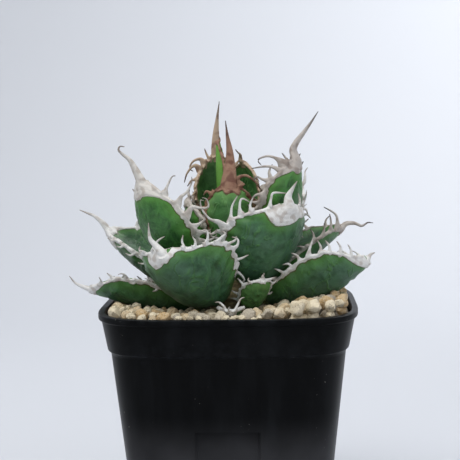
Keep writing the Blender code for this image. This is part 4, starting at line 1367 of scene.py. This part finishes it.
# ---------------------------------------------------------------- stage
def make_sweep(settings):
    """A floor that curves up into the backdrop, without a seam; its sizes are in metres."""
    half, near, far, radius, top = 2.2, -1.6, 1.1, 0.55, 1.7
    profile = [(near, 0.0), (far - radius, 0.0)]
    profile += [(far - radius + radius * math.sin(a), radius - radius * math.cos(a))
                for a in np.linspace(0.0, math.pi / 2.0, 24)[1:]]
    profile.append((far, top))
    columns = np.linspace(-half, half, 9)
    verts = [(x, y, z) for y, z in profile for x in columns]
    wide = len(columns)
    faces = [(i * wide + j, i * wide + j + 1, (i + 1) * wide + j + 1, (i + 1) * wide + j)
             for i in range(len(profile) - 1) for j in range(wide - 1)]
    finish, tree, shader = new_finish("backdrop paper")
    fibre = pattern(tree, 30.0, 2.0, 0.5)
    colour = blend_colour(tree, ramp(tree, fibre, 0.2, 0.8, 0.0, 0.03), settings.backdrop, linear("#cfd3da"))
    tree.links.new(colour, shader.inputs["Base Color"])
    shader.inputs["Roughness"].default_value = 0.9
    shader.inputs["Specular IOR Level"].default_value = 0.15
    return show("studio_sweep", verts, faces, finish)


def make_lamp(name, place, target, size, power, colour):
    """A square soft lamp that looks at a point."""
    data = bpy.data.lights.new(name, "AREA")
    data.shape = "RECTANGLE"
    data.size, data.size_y = size
    data.energy = power
    data.color = linear(colour)[:3]
    lamp = placed(name, data)
    lamp.location = place
    lamp.rotation_euler = (Vector(target) - Vector(place)).to_track_quat("-Z", "Y").to_euler()


CAMERA_AWAY = 532.0 * MM
CAMERA_ABOVE = 75.8 * MM       # over the rim
CAMERA_ASIDE = 0.42 * MM
CAMERA_YAW = math.radians(2.21)
CAMERA_PITCH = math.radians(4.94)
CAMERA_ROLL = math.radians(0.86)


def make_camera(settings):
    """The camera that frames the rosette and the top half of the pot."""
    data = bpy.data.cameras.new("camera")
    data.lens = settings.lens
    data.sensor_width = 36.0
    data.clip_start, data.clip_end = 0.01, 20.0
    camera = placed("camera", data)
    around = Matrix.Rotation(CAMERA_YAW, 4, "Z")
    spot = Matrix.Translation((CAMERA_ASIDE, -CAMERA_AWAY, RIM + CAMERA_ABOVE))
    look = Matrix.Rotation(math.pi / 2.0 - CAMERA_PITCH, 4, "X")
    roll = Matrix.Rotation(-CAMERA_ROLL, 4, "Z")
    camera.matrix_world = around @ spot @ look @ roll
    bpy.context.scene.camera = camera


def light_room(settings):
    """Even pale light from every side."""
    world = bpy.data.worlds.new("room light")
    world.use_nodes = True
    tree = world.node_tree
    back = tree.nodes["Background"]
    back.inputs["Color"].default_value = linear("#edeff2")
    back.inputs["Strength"].default_value = settings.world_strength
    bpy.context.scene.world = world


# ---------------------------------------------------------------- makers
class AGAVE_OT_make_pot(bpy.types.Operator):
    """Makes the square black nursery pot"""

    bl_idname = "agave.make_pot"
    bl_label = "Make Pot"

    def execute(self, context):
        pot = make_pot(context.scene.agave.pot)
        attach(pot, BODY)
        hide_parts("pot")
        return {"FINISHED"}


class AGAVE_OT_make_filling(bpy.types.Operator):
    """Finishes the growing mix, the bed under the loose grains and the stem"""

    bl_idname = "agave.make_filling"
    bl_label = "Make Filling"

    def execute(self, context):
        settings = context.scene.agave.pumice
        finishes = {"growing_mix": peat_finish(), "stem": cork_finish(),
                    # The bed lies under the loose grains, so its pumice is darkened with painted shade.
                    "pumice_layer": pumice_finish(settings, "pumice bed", 0.45)}
        for node, finish in finishes.items():
            shape = frame["nodes"][node]
            shape.data.materials.clear()
            shape.data.materials.append(finish)
        return {"FINISHED"}


class AGAVE_OT_make_pumice(bpy.types.Operator):
    """Scatters the loose pumice grains"""

    bl_idname = "agave.make_pumice"
    bl_label = "Make Pumice"

    def execute(self, context):
        for grains in make_pumice(context.scene.agave.pumice):
            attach(grains, BODY)
        return {"FINISHED"}


class AGAVE_OT_make_leaves(bpy.types.Operator):
    """Grows every leaf: its fleshy blade and the horn on its edge"""

    bl_idname = "agave.make_leaves"
    bl_label = "Make Leaves"

    def execute(self, context):
        settings = context.scene.agave.leaf
        skins = {skin: leaf_skin_finish(settings, skin) for skin in SKINS}
        horns = {horn: horn_finish(horn) for horn in HORNS}
        for order, row in enumerate(LEAVES):
            form = LeafForm(order, row)
            blade = make_blade(form, settings, skins[form.skin])
            horn = make_horn(form, settings, horns[form.horn])
            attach(blade, BODY)
            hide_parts(form.name)
            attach(horn, BODY)
        return {"FINISHED"}


class AGAVE_OT_make_stage(bpy.types.Operator):
    """Sets the pale sweep, the soft lamps and the camera"""

    bl_idname = "agave.make_stage"
    bl_label = "Make Stage"

    def execute(self, context):
        settings = context.scene.agave.stage
        make_sweep(settings)
        light_room(settings)
        middle = (0.0, 0.0, RIM)
        wall = (0.3, 1.05, 0.3)
        make_lamp("key_lamp", (-0.25, -0.30, 0.95), middle, (0.8, 0.8), settings.key_power, "#ffffff")
        make_lamp("backdrop_lamp", (0.5, 0.75, 0.9), wall, (0.4, 0.4), settings.backdrop_power, "#ffffff")
        make_lamp("fill_lamp", (0.75, -0.55, 0.45), middle, (0.8, 0.8), settings.fill_power, "#f4f7ff")
        make_camera(settings)
        context.scene.view_settings.view_transform = "Standard"
        context.scene.view_settings.look = "None"
        return {"FINISHED"}


class AGAVE_PT_panel(bpy.types.Panel):
    """Lists the makers and their settings"""

    bl_label = "Potted Agave"
    bl_idname = "AGAVE_PT_panel"
    bl_space_type = "VIEW_3D"
    bl_region_type = "UI"
    bl_category = "Agave"

    def draw(self, context):
        settings = context.scene.agave
        for maker, group in MAKERS:
            box = self.layout.box()
            box.operator(maker.bl_idname)
            values = getattr(settings, group)
            for key in values.bl_rna.properties.keys():
                if key not in ("rna_type", "name"):
                    box.prop(values, key)


MAKERS = (
    (AGAVE_OT_make_pot, "pot"),
    (AGAVE_OT_make_filling, "pumice"),
    (AGAVE_OT_make_pumice, "pumice"),
    (AGAVE_OT_make_leaves, "leaf"),
    (AGAVE_OT_make_stage, "stage"),
)
CLASSES = (
    AgavePotSettings,
    AgavePumiceSettings,
    AgaveLeafSettings,
    AgaveStageSettings,
    AgaveSettings,
    *(maker for maker, _ in MAKERS),
    AGAVE_PT_panel,
)


def register():
    for kind in CLASSES:
        bpy.utils.register_class(kind)
    bpy.types.Scene.agave = bpy.props.PointerProperty(name="Potted Agave", type=AgaveSettings)


def unregister():
    del bpy.types.Scene.agave
    for kind in reversed(CLASSES):
        bpy.utils.unregister_class(kind)


def main():
    register()
    for thing in list(bpy.data.objects):
        if thing.type in ("LIGHT", "CAMERA") or thing.name == "Cube":
            bpy.data.objects.remove(thing)
    bpy.ops.agave.make_stage()
    bpy.ops.agave.make_pot()
    bpy.ops.agave.make_filling()
    bpy.ops.agave.make_pumice()
    bpy.ops.agave.make_leaves()
    bpy.context.view_layer.update()


if __name__ == "__main__":
    main()
